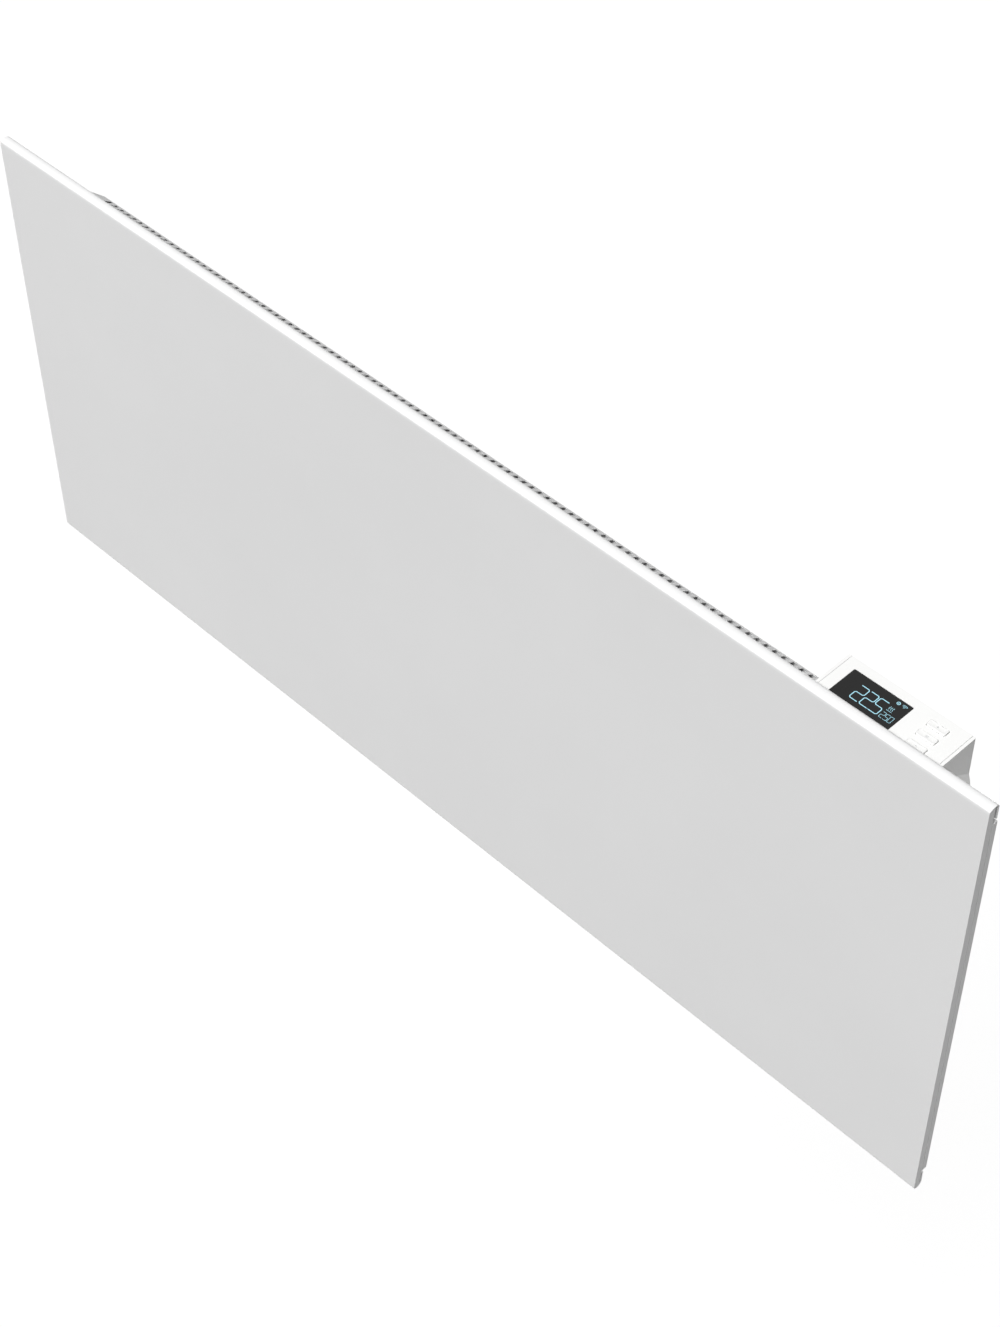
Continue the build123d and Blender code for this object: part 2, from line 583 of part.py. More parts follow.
# ================================================================ control board
with BuildPart() as control_board:
    board_x = (HOUSING_LEFT + HOUSING_WALL + SEAM, HOUSING_RIGHT - HOUSING_WALL - SEAM)
    board_y = (head_y[0] + SEAM, head_y[1] - SEAM)
    block(board_x, board_y, (board_top - BOARD_THICKNESS, board_top))
    board_under = Plane.XY.offset(board_top - BOARD_THICKNESS)
    rod(board_under, boss_points, SMALL_SCREW_RADIUS + FIT, BOARD_THICKNESS, Mode.SUBTRACT)
    # Driver chip on the underside.
    chip_z = (board_top - BOARD_THICKNESS - CHIP_HEIGHT, board_top - BOARD_THICKNESS)
    block(around(display_centre[0], CHIP_SIZE), around(display_centre[1], CHIP_SIZE), chip_z)
control_board.part.label = "control_board"
export_step(control_board.part, "parts/control_board.step")

with BuildPart() as board_screws:
    rod(board_under, boss_points, SMALL_SCREW_RADIUS, SMALL_SCREW_LENGTH)
    head_plane = board_under.offset(-SMALL_HEAD_HEIGHT)
    rod(head_plane, boss_points, SMALL_HEAD_RADIUS, SMALL_HEAD_HEIGHT)
board_screws.part.label = "board_screws"
export_step(board_screws.part, "parts/board_screws.step")

with BuildPart() as tact_switches:
    for point in button_points:
        switch_z = (board_top, board_top + SWITCH_HEIGHT)
        block(around(point[0], SWITCH_SIZE), around(point[1], SWITCH_SIZE), switch_z)
    rod(Plane.XY.offset(board_top + SWITCH_HEIGHT), button_points, PLUNGER_RADIUS, PLUNGER_HEIGHT)
tact_switches.part.label = "tact_switches"
export_step(tact_switches.part, "parts/tact_switches.step")


def button_cap(point):
    """Rounded cap that stands through the lid, with a flange below it that keeps it in."""
    flange_top = LID_UNDER - BUTTON_GAP
    with BuildSketch(Plane.XY.offset(flange_top - BUTTON_FLANGE_THICKNESS)) as cap:
        with Locations(point):
            RectangleRounded(BUTTON_LENGTH, BUTTON_WIDTH, SOFT_EDGE)
    cap_height = HOUSING_TOP + BUTTON_RISE - flange_top + BUTTON_FLANGE_THICKNESS
    extrude(cap.sketch, amount=cap_height)
    flange_z = (flange_top - BUTTON_FLANGE_THICKNESS, flange_top)
    block(around(point[0], BUTTON_LENGTH + 2 * BUTTON_FLANGE), around(point[1], BUTTON_WIDTH), flange_z)


with BuildPart() as button_plus:
    button_cap(button_points[0])
    fillet(button_plus.edges().group_by(Axis.Z)[-1], CAP_EDGE)
button_plus.part.label = "button_plus"
export_step(button_plus.part, "parts/button_plus.step")

with BuildPart() as button_menu:
    button_cap(button_points[1])
    fillet(button_menu.edges().group_by(Axis.Z)[-1], CAP_EDGE)
button_menu.part.label = "button_menu"
export_step(button_menu.part, "parts/button_menu.step")

with BuildPart() as button_minus:
    button_cap(button_points[2])
    fillet(button_minus.edges().group_by(Axis.Z)[-1], CAP_EDGE)
button_minus.part.label = "button_minus"
export_step(button_minus.part, "parts/button_minus.step")

# ================================================================ power electronics
board_front = power_depth - BOARD_THICKNESS
with BuildPart() as power_board:
    block(power_x, (at_depth(board_front), at_depth(power_depth)), power_z)
    rod(facing_plane(power_depth), power_points, SCREW_RADIUS + FIT, BOARD_THICKNESS, Mode.SUBTRACT)
power_board.part.label = "power_board"
export_step(power_board.part, "parts/power_board.step")

with BuildPart() as power_screws:
    rod(facing_plane(board_front), power_points, HEAD_RADIUS, HEAD_HEIGHT)
    screw_tip = power_depth + POWER_SCREW_REACH
    rod(facing_plane(screw_tip), power_points, SCREW_RADIUS, screw_tip - board_front)
power_screws.part.label = "power_screws"
export_step(power_screws.part, "parts/power_screws.step")

# Parts that stand on the power board, from its lower left corner.
grid_x = power_x[0] + POWER_MARGIN
grid_z = power_z[0] + POWER_MARGIN
with BuildPart() as relay:
    relay_y = (at_depth(board_front - RELAY_HEIGHT), at_depth(board_front))
    block((grid_x, grid_x + RELAY_LENGTH), relay_y, (grid_z + RELAY_LENGTH, grid_z + 2 * RELAY_LENGTH))
relay.part.label = "relay"
export_step(relay.part, "parts/relay.step")

core_x = power_x[1] - CORE_MARGIN
core_z = power_z[1] - POWER_MARGIN - CORE_SIZE
with BuildPart() as transformer:
    # Laminated core with a wound bobbin showing on both sides.
    core_y = (at_depth(board_front - CORE_HEIGHT), at_depth(board_front))
    block(around(core_x, CORE_SIZE), core_y, around(core_z, CORE_WIDTH))
    coil_y = (at_depth(board_front - COIL_LIFT - COIL_HEIGHT), at_depth(board_front - COIL_LIFT))
    block(around(core_x, CORE_WIDTH), coil_y, around(core_z, CORE_SIZE))
transformer.part.label = "transformer"
export_step(transformer.part, "parts/transformer.step")

with BuildPart() as capacitors:
    cap_points = [(grid_x + CAN_RADIUS + index * CAN_PITCH, core_z) for index in range(2)]
    rod(facing_plane(board_front), cap_points, CAN_RADIUS, CAN_HEIGHT)
capacitors.part.label = "capacitors"
export_step(capacitors.part, "parts/capacitors.step")

terminal_left = post_x[0] + POST_RADIUS + POST_GAP
with BuildPart() as terminal_block:
    # Moulded block with three clamp shafts open to the front and three lead entries on its left.
    terminal_x = (terminal_left, terminal_left + TERMINAL_LENGTH)
    terminal_y = (at_depth(ELEMENT_DEPTH - TERMINAL_DEPTH), room_y[1])
    terminal_z = around(lead_hole_z, TERMINAL_HEIGHT)
    block(terminal_x, terminal_y, terminal_z)
    lead_points = [(at_depth(ELEMENT_DEPTH), lead_hole_z + step * LEAD_PITCH) for step in (1, 0, -1)]
    rod(Plane.YZ.offset(terminal_x[0]), lead_points, LEAD_RADIUS + FIT, LEAD_GRIP, Mode.SUBTRACT)
    shaft_x = [terminal_x[1] - CLAMP_MARGIN - index * CLAMP_PITCH for index in range(3)]
    shaft_points = [(x, lead_hole_z) for x in shaft_x]
    rod(facing_plane(ELEMENT_DEPTH), shaft_points, SCREW_RADIUS, TERMINAL_DEPTH, Mode.SUBTRACT)
terminal_block.part.label = "terminal_block"
export_step(terminal_block.part, "parts/terminal_block.step")

ribbon_x = housing_middle
with BuildPart() as ribbon_cable:
    ribbon_y = (at_depth(board_front - RIBBON_THICKNESS), at_depth(board_front))
    ribbon_z = (power_z[1] - POWER_MARGIN, board_top - BOARD_THICKNESS)
    block(around(ribbon_x, RIBBON_WIDTH), ribbon_y, ribbon_z)
ribbon_cable.part.label = "ribbon_cable"
export_step(ribbon_cable.part, "parts/ribbon_cable.step")

with BuildPart() as ribbon_plugs:
    plug_x = around(ribbon_x, RIBBON_WIDTH + 2 * PLUG_OVERHANG)
    plug_y = (ribbon_y[0] - PLUG_DEPTH, ribbon_y[0])
    block(plug_x, plug_y, (ribbon_z[0], ribbon_z[0] + PLUG_SIZE))
    block(plug_x, plug_y, (ribbon_z[1] - PLUG_SIZE, ribbon_z[1]))
ribbon_plugs.part.label = "ribbon_plugs"
export_step(ribbon_plugs.part, "parts/ribbon_plugs.step")

# ================================================================ rocker switch
rocker_y = rocker_centre[0]
rocker_z = rocker_centre[1]
pivot_x = SKIRT_RIGHT - SHEET
well_floor = SKIRT_RIGHT - WELL_DEPTH
with BuildPart() as rocker_frame:
    # Flange outside the skirt, body through its wall and a well for the rocker.
    with BuildSketch(Plane.YZ.offset(SKIRT_RIGHT)):
        with Locations(rocker_centre):
            RectangleRounded(FRAME_WIDTH + 2 * FRAME_BEZEL, FRAME_LENGTH + 2 * FRAME_BEZEL, FRAME_CORNER)
    extrude(amount=FRAME_FLANGE)
    body_x = (SKIRT_RIGHT - FRAME_BODY, SKIRT_RIGHT)
    block(body_x, around(rocker_y, FRAME_WIDTH), around(rocker_z, FRAME_LENGTH))
    well_x = (well_floor, SKIRT_RIGHT + FRAME_FLANGE)
    well_y = around(rocker_y, ROCKER_WIDTH + 2 * ROCKER_GAP)
    block(well_x, well_y, around(rocker_z, ROCKER_LENGTH + 2 * ROCKER_GAP), Mode.SUBTRACT)
    socket_plane = Plane.XZ.offset(-rocker_y - FRAME_WIDTH / 2)
    socket_radius = PIVOT_RADIUS + ROCKER_GAP
    rod(socket_plane, [(pivot_x, rocker_z)], socket_radius, FRAME_WIDTH, Mode.SUBTRACT)
    for side in (-1, 1):
        blade_x = (body_x[0] - BLADE_LENGTH, body_x[0])
        blade_z = around(rocker_z + side * BLADE_OFFSET, BLADE_THICKNESS)
        block(blade_x, around(rocker_y, BLADE_WIDTH), blade_z)
rocker_frame.part.label = "rocker_frame"
export_step(rocker_frame.part, "parts/rocker_frame.step")

with BuildPart() as rocker:
    # Shallow V on top, held at the tilt of its "on" position.
    tip = ROCKER_LENGTH / 2 - ROCKER_TOP_INSET
    foot = ROCKER_LENGTH / 2 - ROCKER_SIDE_INSET
    tilt = math.radians(ROCKER_TILT)
    tilted_x = (math.sin(tilt), 0, math.cos(tilt))
    with BuildSketch(Plane(origin=(pivot_x, rocker_y, rocker_z), x_dir=tilted_x, z_dir=(0, 1, 0))):
        with BuildLine():
            Polyline(
                (-tip, ROCKER_TIP),
                (0, ROCKER_VALLEY),
                (tip, ROCKER_TIP),
                (foot, -ROCKER_SIDE),
                (0, -ROCKER_KEEL),
                (-foot, -ROCKER_SIDE),
                close=True,
            )
        make_face()
    extrude(amount=ROCKER_WIDTH / 2, both=True)
    pin_plane = Plane.XZ.offset(-rocker_y - FRAME_WIDTH / 2 + FIT)
    rod(pin_plane, [(pivot_x, rocker_z)], PIVOT_RADIUS, FRAME_WIDTH - 2 * FIT)
rocker.part.label = "rocker"
export_step(rocker.part, "parts/rocker.step")

# ================================================================ gland and room sensor
with BuildPart() as cable_gland:
    # Hexagon and thread through the floor, with a domed clamping nut below it.
    with BuildSketch(Plane.XY.offset(housing_base)):
        with Locations(gland_point):
            RegularPolygon(GLAND_HEXAGON, 6)
    extrude(amount=-GLAND_HEXAGON_HEIGHT)
    rod(base_plane, [gland_point], GLAND_RADIUS, GLAND_THREAD)
    gland_end = Plane.XY.offset(housing_base - GLAND_NUT_DROP)
    rod(gland_end, [gland_point], GLAND_NUT_RADIUS, GLAND_NUT_HEIGHT)
    fillet(cable_gland.edges().filter_by(GeomType.CIRCLE).group_by(Axis.Z)[0], GLAND_EDGE)
    rod(gland_end, [gland_point], CABLE_RADIUS, GLAND_NUT_DROP + GLAND_THREAD, Mode.SUBTRACT)
cable_gland.part.label = "cable_gland"
export_step(cable_gland.part, "parts/cable_gland.step")

with BuildPart() as gland_nut:
    with BuildSketch(Plane.XY.offset(housing_base + HOUSING_WALL)):
        with Locations(gland_point):
            RegularPolygon(GLAND_HEXAGON, 6)
            Circle(GLAND_RADIUS + FIT / 2, mode=Mode.SUBTRACT)
    extrude(amount=LOCKNUT_HEIGHT)
gland_nut.part.label = "gland_nut"
export_step(gland_nut.part, "parts/gland_nut.step")

with BuildPart() as sensor_cap:
    # Slotted cup under the housing that lets room air reach the sensor.
    rod(Plane.XY.offset(housing_base - SENSOR_DROP), [sensor_point], SENSOR_RADIUS, SENSOR_DROP)
    cup_plane = Plane.XY.offset(housing_base - SENSOR_DROP + SHEET)
    rod(cup_plane, [sensor_point], SENSOR_RADIUS - SHEET, SENSOR_DROP, Mode.SUBTRACT)
    slit_z = (housing_base - SENSOR_DROP + 2 * SHEET, housing_base - 3 * SHEET)
    wide = 3 * SENSOR_RADIUS
    block(around(sensor_x, wide), around(sensor_point[1], SENSOR_SLIT), slit_z, Mode.SUBTRACT)
    block(around(sensor_x, SENSOR_SLIT), around(sensor_point[1], wide), slit_z, Mode.SUBTRACT)
sensor_cap.part.label = "sensor_cap"
export_step(sensor_cap.part, "parts/sensor_cap.step")

with BuildPart() as room_sensor:
    stem_z = housing_base - SENSOR_DROP / 2
    rod(Plane.XY.offset(stem_z), [sensor_point], SENSOR_STEM, SENSOR_DROP / 2 + 2 * HOUSING_WALL)
    with Locations((sensor_x, sensor_point[1], stem_z)):
        Sphere(SENSOR_BEAD)
room_sensor.part.label = "room_sensor"
export_step(room_sensor.part, "parts/room_sensor.step")

# ================================================================ heating element
tube_left = CASING_LEFT + ELEMENT_MARGIN
tube_right = CASING_RIGHT - ELEMENT_MARGIN
stand_x = (tube_left + 2 * TUBE_RADIUS, casing_middle, tube_right - 2 * TUBE_RADIUS)
element_point = (at_depth(ELEMENT_DEPTH), ELEMENT_HEIGHT)
fin_count = int((stand_x[2] - stand_x[0] - 2 * FIN_END_GAP) / FIN_PITCH)
fin_first = casing_middle - (fin_count - 1) / 2 * FIN_PITCH
fin_x = [fin_first + index * FIN_PITCH for index in range(fin_count)]
with BuildPart() as heating_element:
    # Straight tube with thin plate fins, left bare at the three stands.
    rod(Plane.YZ.offset(tube_left), [element_point], TUBE_RADIUS, tube_right - tube_left)
    for x in fin_x:
        if abs(x - casing_middle) > STAND_GAP:
            fin_y = around(element_point[0], FIN_WIDTH)
            block(around(x, THIN_SHEET), fin_y, around(ELEMENT_HEIGHT, FIN_HEIGHT))
heating_element.part.label = "heating_element"
export_step(heating_element.part, "parts/heating_element.step")

with BuildPart() as element_pins:
    rod(Plane.YZ.offset(tube_left - PIN_LENGTH), [element_point], SCREW_RADIUS, PIN_LENGTH)
    rod(Plane.YZ.offset(tube_right), [element_point], SCREW_RADIUS, PIN_LENGTH)
element_pins.part.label = "element_pins"
export_step(element_pins.part, "parts/element_pins.step")

with BuildPart() as element_collars:
    # Ceramic collars with a shoulder, one in each stand.
    for x in stand_x:
        collar_plane = Plane.YZ.offset(x - COLLAR_LENGTH / 2)
        rod(collar_plane, [element_point], COLLAR_RADIUS, COLLAR_LENGTH)
        rod(Plane.YZ.offset(x + SHEET / 2), [element_point], COLLAR_RADIUS + SHEET, SHEET)
        rod(collar_plane, [element_point], TUBE_RADIUS + FIT / 2, COLLAR_LENGTH, Mode.SUBTRACT)
element_collars.part.label = "element_collars"
export_step(element_collars.part, "parts/element_collars.step")

return_z = lead_hole_z - LEAD_PITCH
return_point = (element_point[0], return_z)
with BuildPart() as element_stands:
    # Upright plates with a foot against the rear heat shield and a hole for the return lead.
    for x in stand_x:
        stand_y = (at_depth(ELEMENT_DEPTH - FIN_WIDTH / 2), at_depth(SHIELD_DEPTH))
        stand_z = (return_z - 3 * LEAD_RADIUS, ELEMENT_HEIGHT + STAND_RISE)
        block(around(x, SHEET), stand_y, stand_z)
        block((x, x + FOOT_WIDTH), (at_depth(SHIELD_DEPTH - SHEET), at_depth(SHIELD_DEPTH)), stand_z)
        rod(Plane.YZ.offset(x - SHEET), [element_point], COLLAR_RADIUS + FIT, 2 * SHEET, Mode.SUBTRACT)
        rod(Plane.YZ.offset(x - SHEET), [return_point], LEAD_RADIUS + FIT, 2 * SHEET, Mode.SUBTRACT)
element_stands.part.label = "element_stands"
export_step(element_stands.part, "parts/element_stands.step")

with BuildPart() as heat_shield:
    # Reflector behind the element with a foot along its top and its bottom.
    shield_x = (CASING_LEFT + SHIELD_MARGIN, CASING_RIGHT - SHIELD_MARGIN)
    shield_z = (ELEMENT_HEIGHT - SHIELD_BELOW, ELEMENT_HEIGHT + SHIELD_ABOVE)
    shield_back = CASING_DEPTH - SHEET
    block(shield_x, (at_depth(SHIELD_DEPTH), at_depth(SHIELD_DEPTH + THIN_SHEET)), shield_z)
    for edge, outward in ((shield_z[0], -1), (shield_z[1], 1)):
        web_z = sorted((edge, edge - outward * THIN_SHEET))
        block(shield_x, (at_depth(SHIELD_DEPTH), at_depth(shield_back)), web_z)
        foot_z = sorted((edge - outward * THIN_SHEET, edge + outward * FOOT_WIDTH))
        block(shield_x, (at_depth(shield_back - THIN_SHEET), at_depth(shield_back)), foot_z)
heat_shield.part.label = "heat_shield"
export_step(heat_shield.part, "parts/heat_shield.step")

with BuildPart() as front_shield:
    # Flat shield in front of the element, standing off the liner on two feet.
    front_z = (shield_z[0], ELEMENT_HEIGHT + FRONT_SHIELD_ABOVE)
    shield_y = (at_depth(FRONT_SHIELD_DEPTH - THIN_SHEET), at_depth(FRONT_SHIELD_DEPTH))
    block(shield_x, shield_y, front_z)
    for edge, outward in ((front_z[0], -1), (front_z[1], 1)):
        web_z = sorted((edge, edge - outward * THIN_SHEET))
        block(shield_x, (at_depth(LINER_DEPTH), at_depth(FRONT_SHIELD_DEPTH)), web_z)
        foot_z = sorted((edge - outward * THIN_SHEET, edge + outward * FOOT_WIDTH))
        block(shield_x, (at_depth(LINER_DEPTH), at_depth(LINER_DEPTH + THIN_SHEET)), foot_z)
front_shield.part.label = "front_shield"
export_step(front_shield.part, "parts/front_shield.step")

cutout_x = stand_x[2] - CUTOUT_MARGIN
cutout_z = ELEMENT_HEIGHT + CUTOUT_RISE
cutout_point = (cutout_x, cutout_z)
blade_depth = SHIELD_DEPTH - CUTOUT_BLADE_STAND
with BuildPart() as thermal_cutout:
    # Round cut-out on the heat shield with a blade on either side.
    rod(facing_plane(SHIELD_DEPTH), [cutout_point], CUTOUT_RADIUS, CUTOUT_HEIGHT)
    rod(facing_plane(SHIELD_DEPTH), [cutout_point], CUTOUT_CAP_RADIUS, CUTOUT_CAP_HEIGHT)
    blade_y = (at_depth(blade_depth), at_depth(blade_depth + THIN_SHEET))
    block(around(cutout_x, CUTOUT_SPAN), blade_y, around(cutout_z, CUTOUT_BLADE_WIDTH))
thermal_cutout.part.label = "thermal_cutout"
export_step(thermal_cutout.part, "parts/thermal_cutout.step")

# ================================================================ leads
with BuildPart() as lead_grommet:
    # Rubber grommet held in the casing end and the housing wall.
    grommet_start = CASING_RIGHT - SHEET - GROMMET_INSIDE
    grommet_length = SHEET + SEAM + HOUSING_WALL + GROMMET_OUTSIDE
    rod(Plane.YZ.offset(grommet_start), [lead_centre], GROMMET_RADIUS, grommet_length)
    rod(Plane.YZ.offset(grommet_start), [lead_centre], GROMMET_RADIUS + GROMMET_COLLAR, GROMMET_INSIDE)
    rod(Plane.YZ.offset(grommet_start), [lead_centre], GROMMET_BORE, grommet_length, Mode.SUBTRACT)
lead_grommet.part.label = "lead_grommet"
export_step(lead_grommet.part, "parts/lead_grommet.step")

lead_end = terminal_x[0] + LEAD_GRIP - FIT
lead_y = at_depth(ELEMENT_DEPTH)


def run_lead(corners):
    """Round lead of straight runs joined by bends of one radius."""
    start = Vector(*corners[0])
    heading = Vector(*corners[1]) - start
    with BuildLine() as route:
        FilletPolyline(*corners, radius=LEAD_BEND)
    with BuildSketch(Plane(origin=start, z_dir=heading)) as end:
        Circle(LEAD_RADIUS)
    sweep(end.sketch, path=route.wires()[0])


first_run = LEAD_BEND + SHEET
with BuildPart() as lead_live:
    pin_end = tube_right + PIN_LENGTH
    run_z = lead_hole_z + LEAD_PITCH
    run_lead(
        [
            (pin_end, lead_y, ELEMENT_HEIGHT),
            (pin_end + first_run, lead_y, ELEMENT_HEIGHT),
            (pin_end + first_run, lead_y, run_z),
            (lead_end, lead_y, run_z),
        ]
    )
lead_live.part.label = "lead_live"
export_step(lead_live.part, "parts/lead_live.step")

with BuildPart() as lead_neutral:
    pin_start = tube_left - PIN_LENGTH
    run_lead(
        [
            (pin_start, lead_y, ELEMENT_HEIGHT),
            (pin_start - first_run, lead_y, ELEMENT_HEIGHT),
            (pin_start - first_run, lead_y, return_z),
            (lead_end, lead_y, return_z),
        ]
    )
lead_neutral.part.label = "lead_neutral"
export_step(lead_neutral.part, "parts/lead_neutral.step")

with BuildPart() as lead_cutout:
    # Down behind the element pin, then forward through the grommet.
    cutout_end = cutout_x + CUTOUT_SPAN / 2
    drop_x = pin_end + 3 * LEAD_RADIUS
    grommet_end = grommet_start + grommet_length
    cutout_y = at_depth(blade_depth + THIN_SHEET / 2)
    run_lead(
        [
            (cutout_end, cutout_y, cutout_z),
            (drop_x, cutout_y, cutout_z),
            (drop_x, cutout_y, lead_hole_z),
            (grommet_end, lead_y, lead_hole_z),
            (lead_end, lead_y, lead_hole_z),
        ]
    )
lead_cutout.part.label = "lead_cutout"
export_step(lead_cutout.part, "parts/lead_cutout.step")

# ================================================================ hangers and wall bracket
lip_top = HOLE_SPAN_Z / 2 + ARM_RISE + ARM_LIP
hook_tops = (lip_top, lip_top - HOLE_SPAN_Z)
strap_y = (at_depth(CASING_DEPTH), at_depth(CASING_DEPTH) + HANGER_SHEET)
hook_back = -ARM_REACH + BRACKET_SHEET + 2 * HANGER_SHEET + HANG_GAP * 3


def hanger(centre):
    """Upright strap with two hooks that drop behind the lips of the bracket arms."""
    hanger_x_span = around(centre, HANGER_WIDTH)
    strap_z = (-HOLE_SPAN_Z / 2 - ARM_LIP, hook_tops[0] + HANG_GAP + HANGER_SHEET)
    block(hanger_x_span, strap_y, strap_z)
    for top in hook_tops:
        shelf_z = (top + HANG_GAP, top + HANG_GAP + HANGER_SHEET)
        block(hanger_x_span, (strap_y[0], hook_back), shelf_z)
        block(hanger_x_span, (hook_back - HANGER_SHEET, hook_back), (top - HOOK_DROP, shelf_z[1]))
    centre_points = [(centre, z) for z in hanger_rivet_z]
    rod(Plane.XZ.offset(-strap_y[1]), centre_points, HOLE_FOR_SCREW, HANGER_SHEET, Mode.SUBTRACT)


with BuildPart() as hanger_left:
    hanger(hanger_x[0])
hanger_left.part.label = "hanger_left"
export_step(hanger_left.part, "parts/hanger_left.step")

with BuildPart() as hanger_right:
    hanger(hanger_x[1])
hanger_right.part.label = "hanger_right"
export_step(hanger_right.part, "parts/hanger_right.step")

with BuildPart() as hanger_rivets:
    rod(Plane.XZ.offset(-strap_y[1]), hanger_rivet_points, SCREW_RADIUS, HANGER_SHEET + SHEET)
    rod(Plane.XZ.offset(-strap_y[1] - SHEET), hanger_rivet_points, HEAD_RADIUS, SHEET)
    rod(facing_plane(CASING_DEPTH - SHEET), hanger_rivet_points, RIVET_TAIL_RADIUS, SHEET)
hanger_rivets.part.label = "hanger_rivets"
export_step(hanger_rivets.part, "parts/hanger_rivets.step")

with BuildPart() as wall_spacers:
    # Rubber feet that keep the lower edge off the wall.
    spacer_z = -REAR_TOP + SPACER_RISE
    spacer_x = (CASING_LEFT + SPACER_MARGIN, CASING_RIGHT - SPACER_MARGIN)
    spacer_length = OVERALL_DEPTH - CASING_DEPTH - HANG_GAP
    spacer_points = [(x, spacer_z) for x in spacer_x]
    rod(Plane.XZ.offset(HANG_GAP), spacer_points, SPACER_RADIUS, spacer_length)
    fillet(wall_spacers.edges().group_by(Axis.Y)[-1], SPACER_EDGE)
wall_spacers.part.label = "wall_spacers"
export_step(wall_spacers.part, "parts/wall_spacers.step")

with BuildPart() as wall_bracket:
    # Two uprights joined by two bars, all one plate against the wall.
    plate_y = (-BRACKET_SHEET, 0)
    upright_z = around(0, HOLE_SPAN_Z + 2 * UPRIGHT_OVERHANG)
    for x in hanger_x:
        block(around(x, UPRIGHT_WIDTH), plate_y, upright_z)
    bar_z = HOLE_SPAN_Z / 2 - UPRIGHT_WIDTH
    for side in (-1, 1):
        block(hanger_x, plate_y, around(side * bar_z, BAR_WIDTH))
    # Arms that reach forward and turn up into a lip.
    for x in hanger_x:
        for top in hook_tops:
            floor_z = (top - ARM_LIP - BRACKET_SHEET, top - ARM_LIP)
            block(around(x, ARM_WIDTH), (-ARM_REACH, 0), floor_z)
            block(around(x, ARM_WIDTH), (-ARM_REACH, -ARM_REACH + BRACKET_SHEET), (floor_z[0], top))
    wall_points = [(x, side * HOLE_SPAN_Z / 2) for x in hanger_x for side in (-1, 1)]
    rod(Plane.XZ, wall_points, HOLE_RADIUS, BRACKET_SHEET, Mode.SUBTRACT)
wall_bracket.part.label = "wall_bracket"
export_step(wall_bracket.part, "parts/wall_bracket.step")
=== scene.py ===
"""Wall panel convector heater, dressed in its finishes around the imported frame."""
import json
import logging
import math
from dataclasses import dataclass, field
from enum import Enum
from typing import Any, Iterable, Sequence

import bmesh
import bpy
from mathutils import Matrix, Vector


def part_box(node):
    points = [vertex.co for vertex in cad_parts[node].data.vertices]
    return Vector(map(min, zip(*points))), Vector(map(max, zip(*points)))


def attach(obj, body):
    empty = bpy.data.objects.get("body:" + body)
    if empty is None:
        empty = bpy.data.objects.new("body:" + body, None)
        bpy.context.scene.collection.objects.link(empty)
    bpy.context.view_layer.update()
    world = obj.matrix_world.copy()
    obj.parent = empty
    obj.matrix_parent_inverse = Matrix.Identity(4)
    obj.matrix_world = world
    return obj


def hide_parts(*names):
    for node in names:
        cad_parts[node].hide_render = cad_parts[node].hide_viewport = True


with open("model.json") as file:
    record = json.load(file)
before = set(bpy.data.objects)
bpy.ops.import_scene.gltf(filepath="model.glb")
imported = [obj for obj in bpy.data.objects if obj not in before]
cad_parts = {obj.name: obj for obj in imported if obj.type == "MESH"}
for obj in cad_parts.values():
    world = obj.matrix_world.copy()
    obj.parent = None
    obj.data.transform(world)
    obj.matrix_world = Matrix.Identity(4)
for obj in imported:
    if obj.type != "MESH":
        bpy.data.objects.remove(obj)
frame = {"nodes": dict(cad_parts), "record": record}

MM = 0.001
LOG = logging.getLogger("heater")
# Shares of the slow noise at which a colour is wholly its one or its other shade.
DRIFT_STOPS = (0.35, 0.65)
# Corners of a CAD copy that lie nearer to each other than this are one.
MERGE_MM = 0.002
# The same for a turned shape, and for a stroke as a share of its width.
SEAM_MM = 0.001
STROKE_SHARE = 0.01
# Neighbouring faces of a CAD copy that turn less than this are one flat face.
FLAT_DEGREES = 0.5
# Share of its length that an edge runs along an axis, from which it counts as parallel.
PARALLEL = 0.99
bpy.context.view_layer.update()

Point = tuple[float, float]
Line = Sequence[Point]


class Body(Enum):
    """Bodies of the heater that move on their own."""

    BRACKET = "bracket"
    HEATER = "heater"
    PLUS = "plus_key"
    MENU = "menu_key"
    MINUS = "minus_key"
    ROCKER = "rocker_key"


class Grain(Enum):
    """Kinds of surface pattern, by the texture node that draws them."""

    NOISE = "ShaderNodeTexNoise"
    CELLS = "ShaderNodeTexVoronoi"
    BANDS = "ShaderNodeTexWave"


# ------------------------------------------------------------------ colours and nodes
def linear(code: str) -> tuple[float, float, float, float]:
    """Turn an sRGB hex colour into a linear one.

    Args:
        code: colour written as "#RRGGBB".

    Returns:
        Red, green, blue and alpha as linear shares.
    """
    shares = [int(code[start:start + 2], 16) / 255 for start in (1, 3, 5)]
    lit = [s / 12.92 if s <= 0.04045 else ((s + 0.055) / 1.055) ** 2.4 for s in shares]
    return (lit[0], lit[1], lit[2], 1.0)


def add_node(
    tree: bpy.types.NodeTree, kind: str, links: dict[Any, Any] | None = None, **settings: Any
) -> bpy.types.Node:
    """Add one node with its settings and links.

    Args:
        tree: node tree that gets the node.
        kind: Blender's name of the node.
        links: what feeds or fills each input, by its name or number. An output socket is linked,
            and anything else is set as the input's value.
        settings: properties of the node itself.

    Returns:
        The new node.
    """
    node = tree.nodes.new(kind)
    for name, value in settings.items():
        setattr(node, name, value)
    for name, value in (links or {}).items():
        if isinstance(value, bpy.types.NodeSocket):
            tree.links.new(value, node.inputs[name])
        else:
            node.inputs[name].default_value = value
    return node


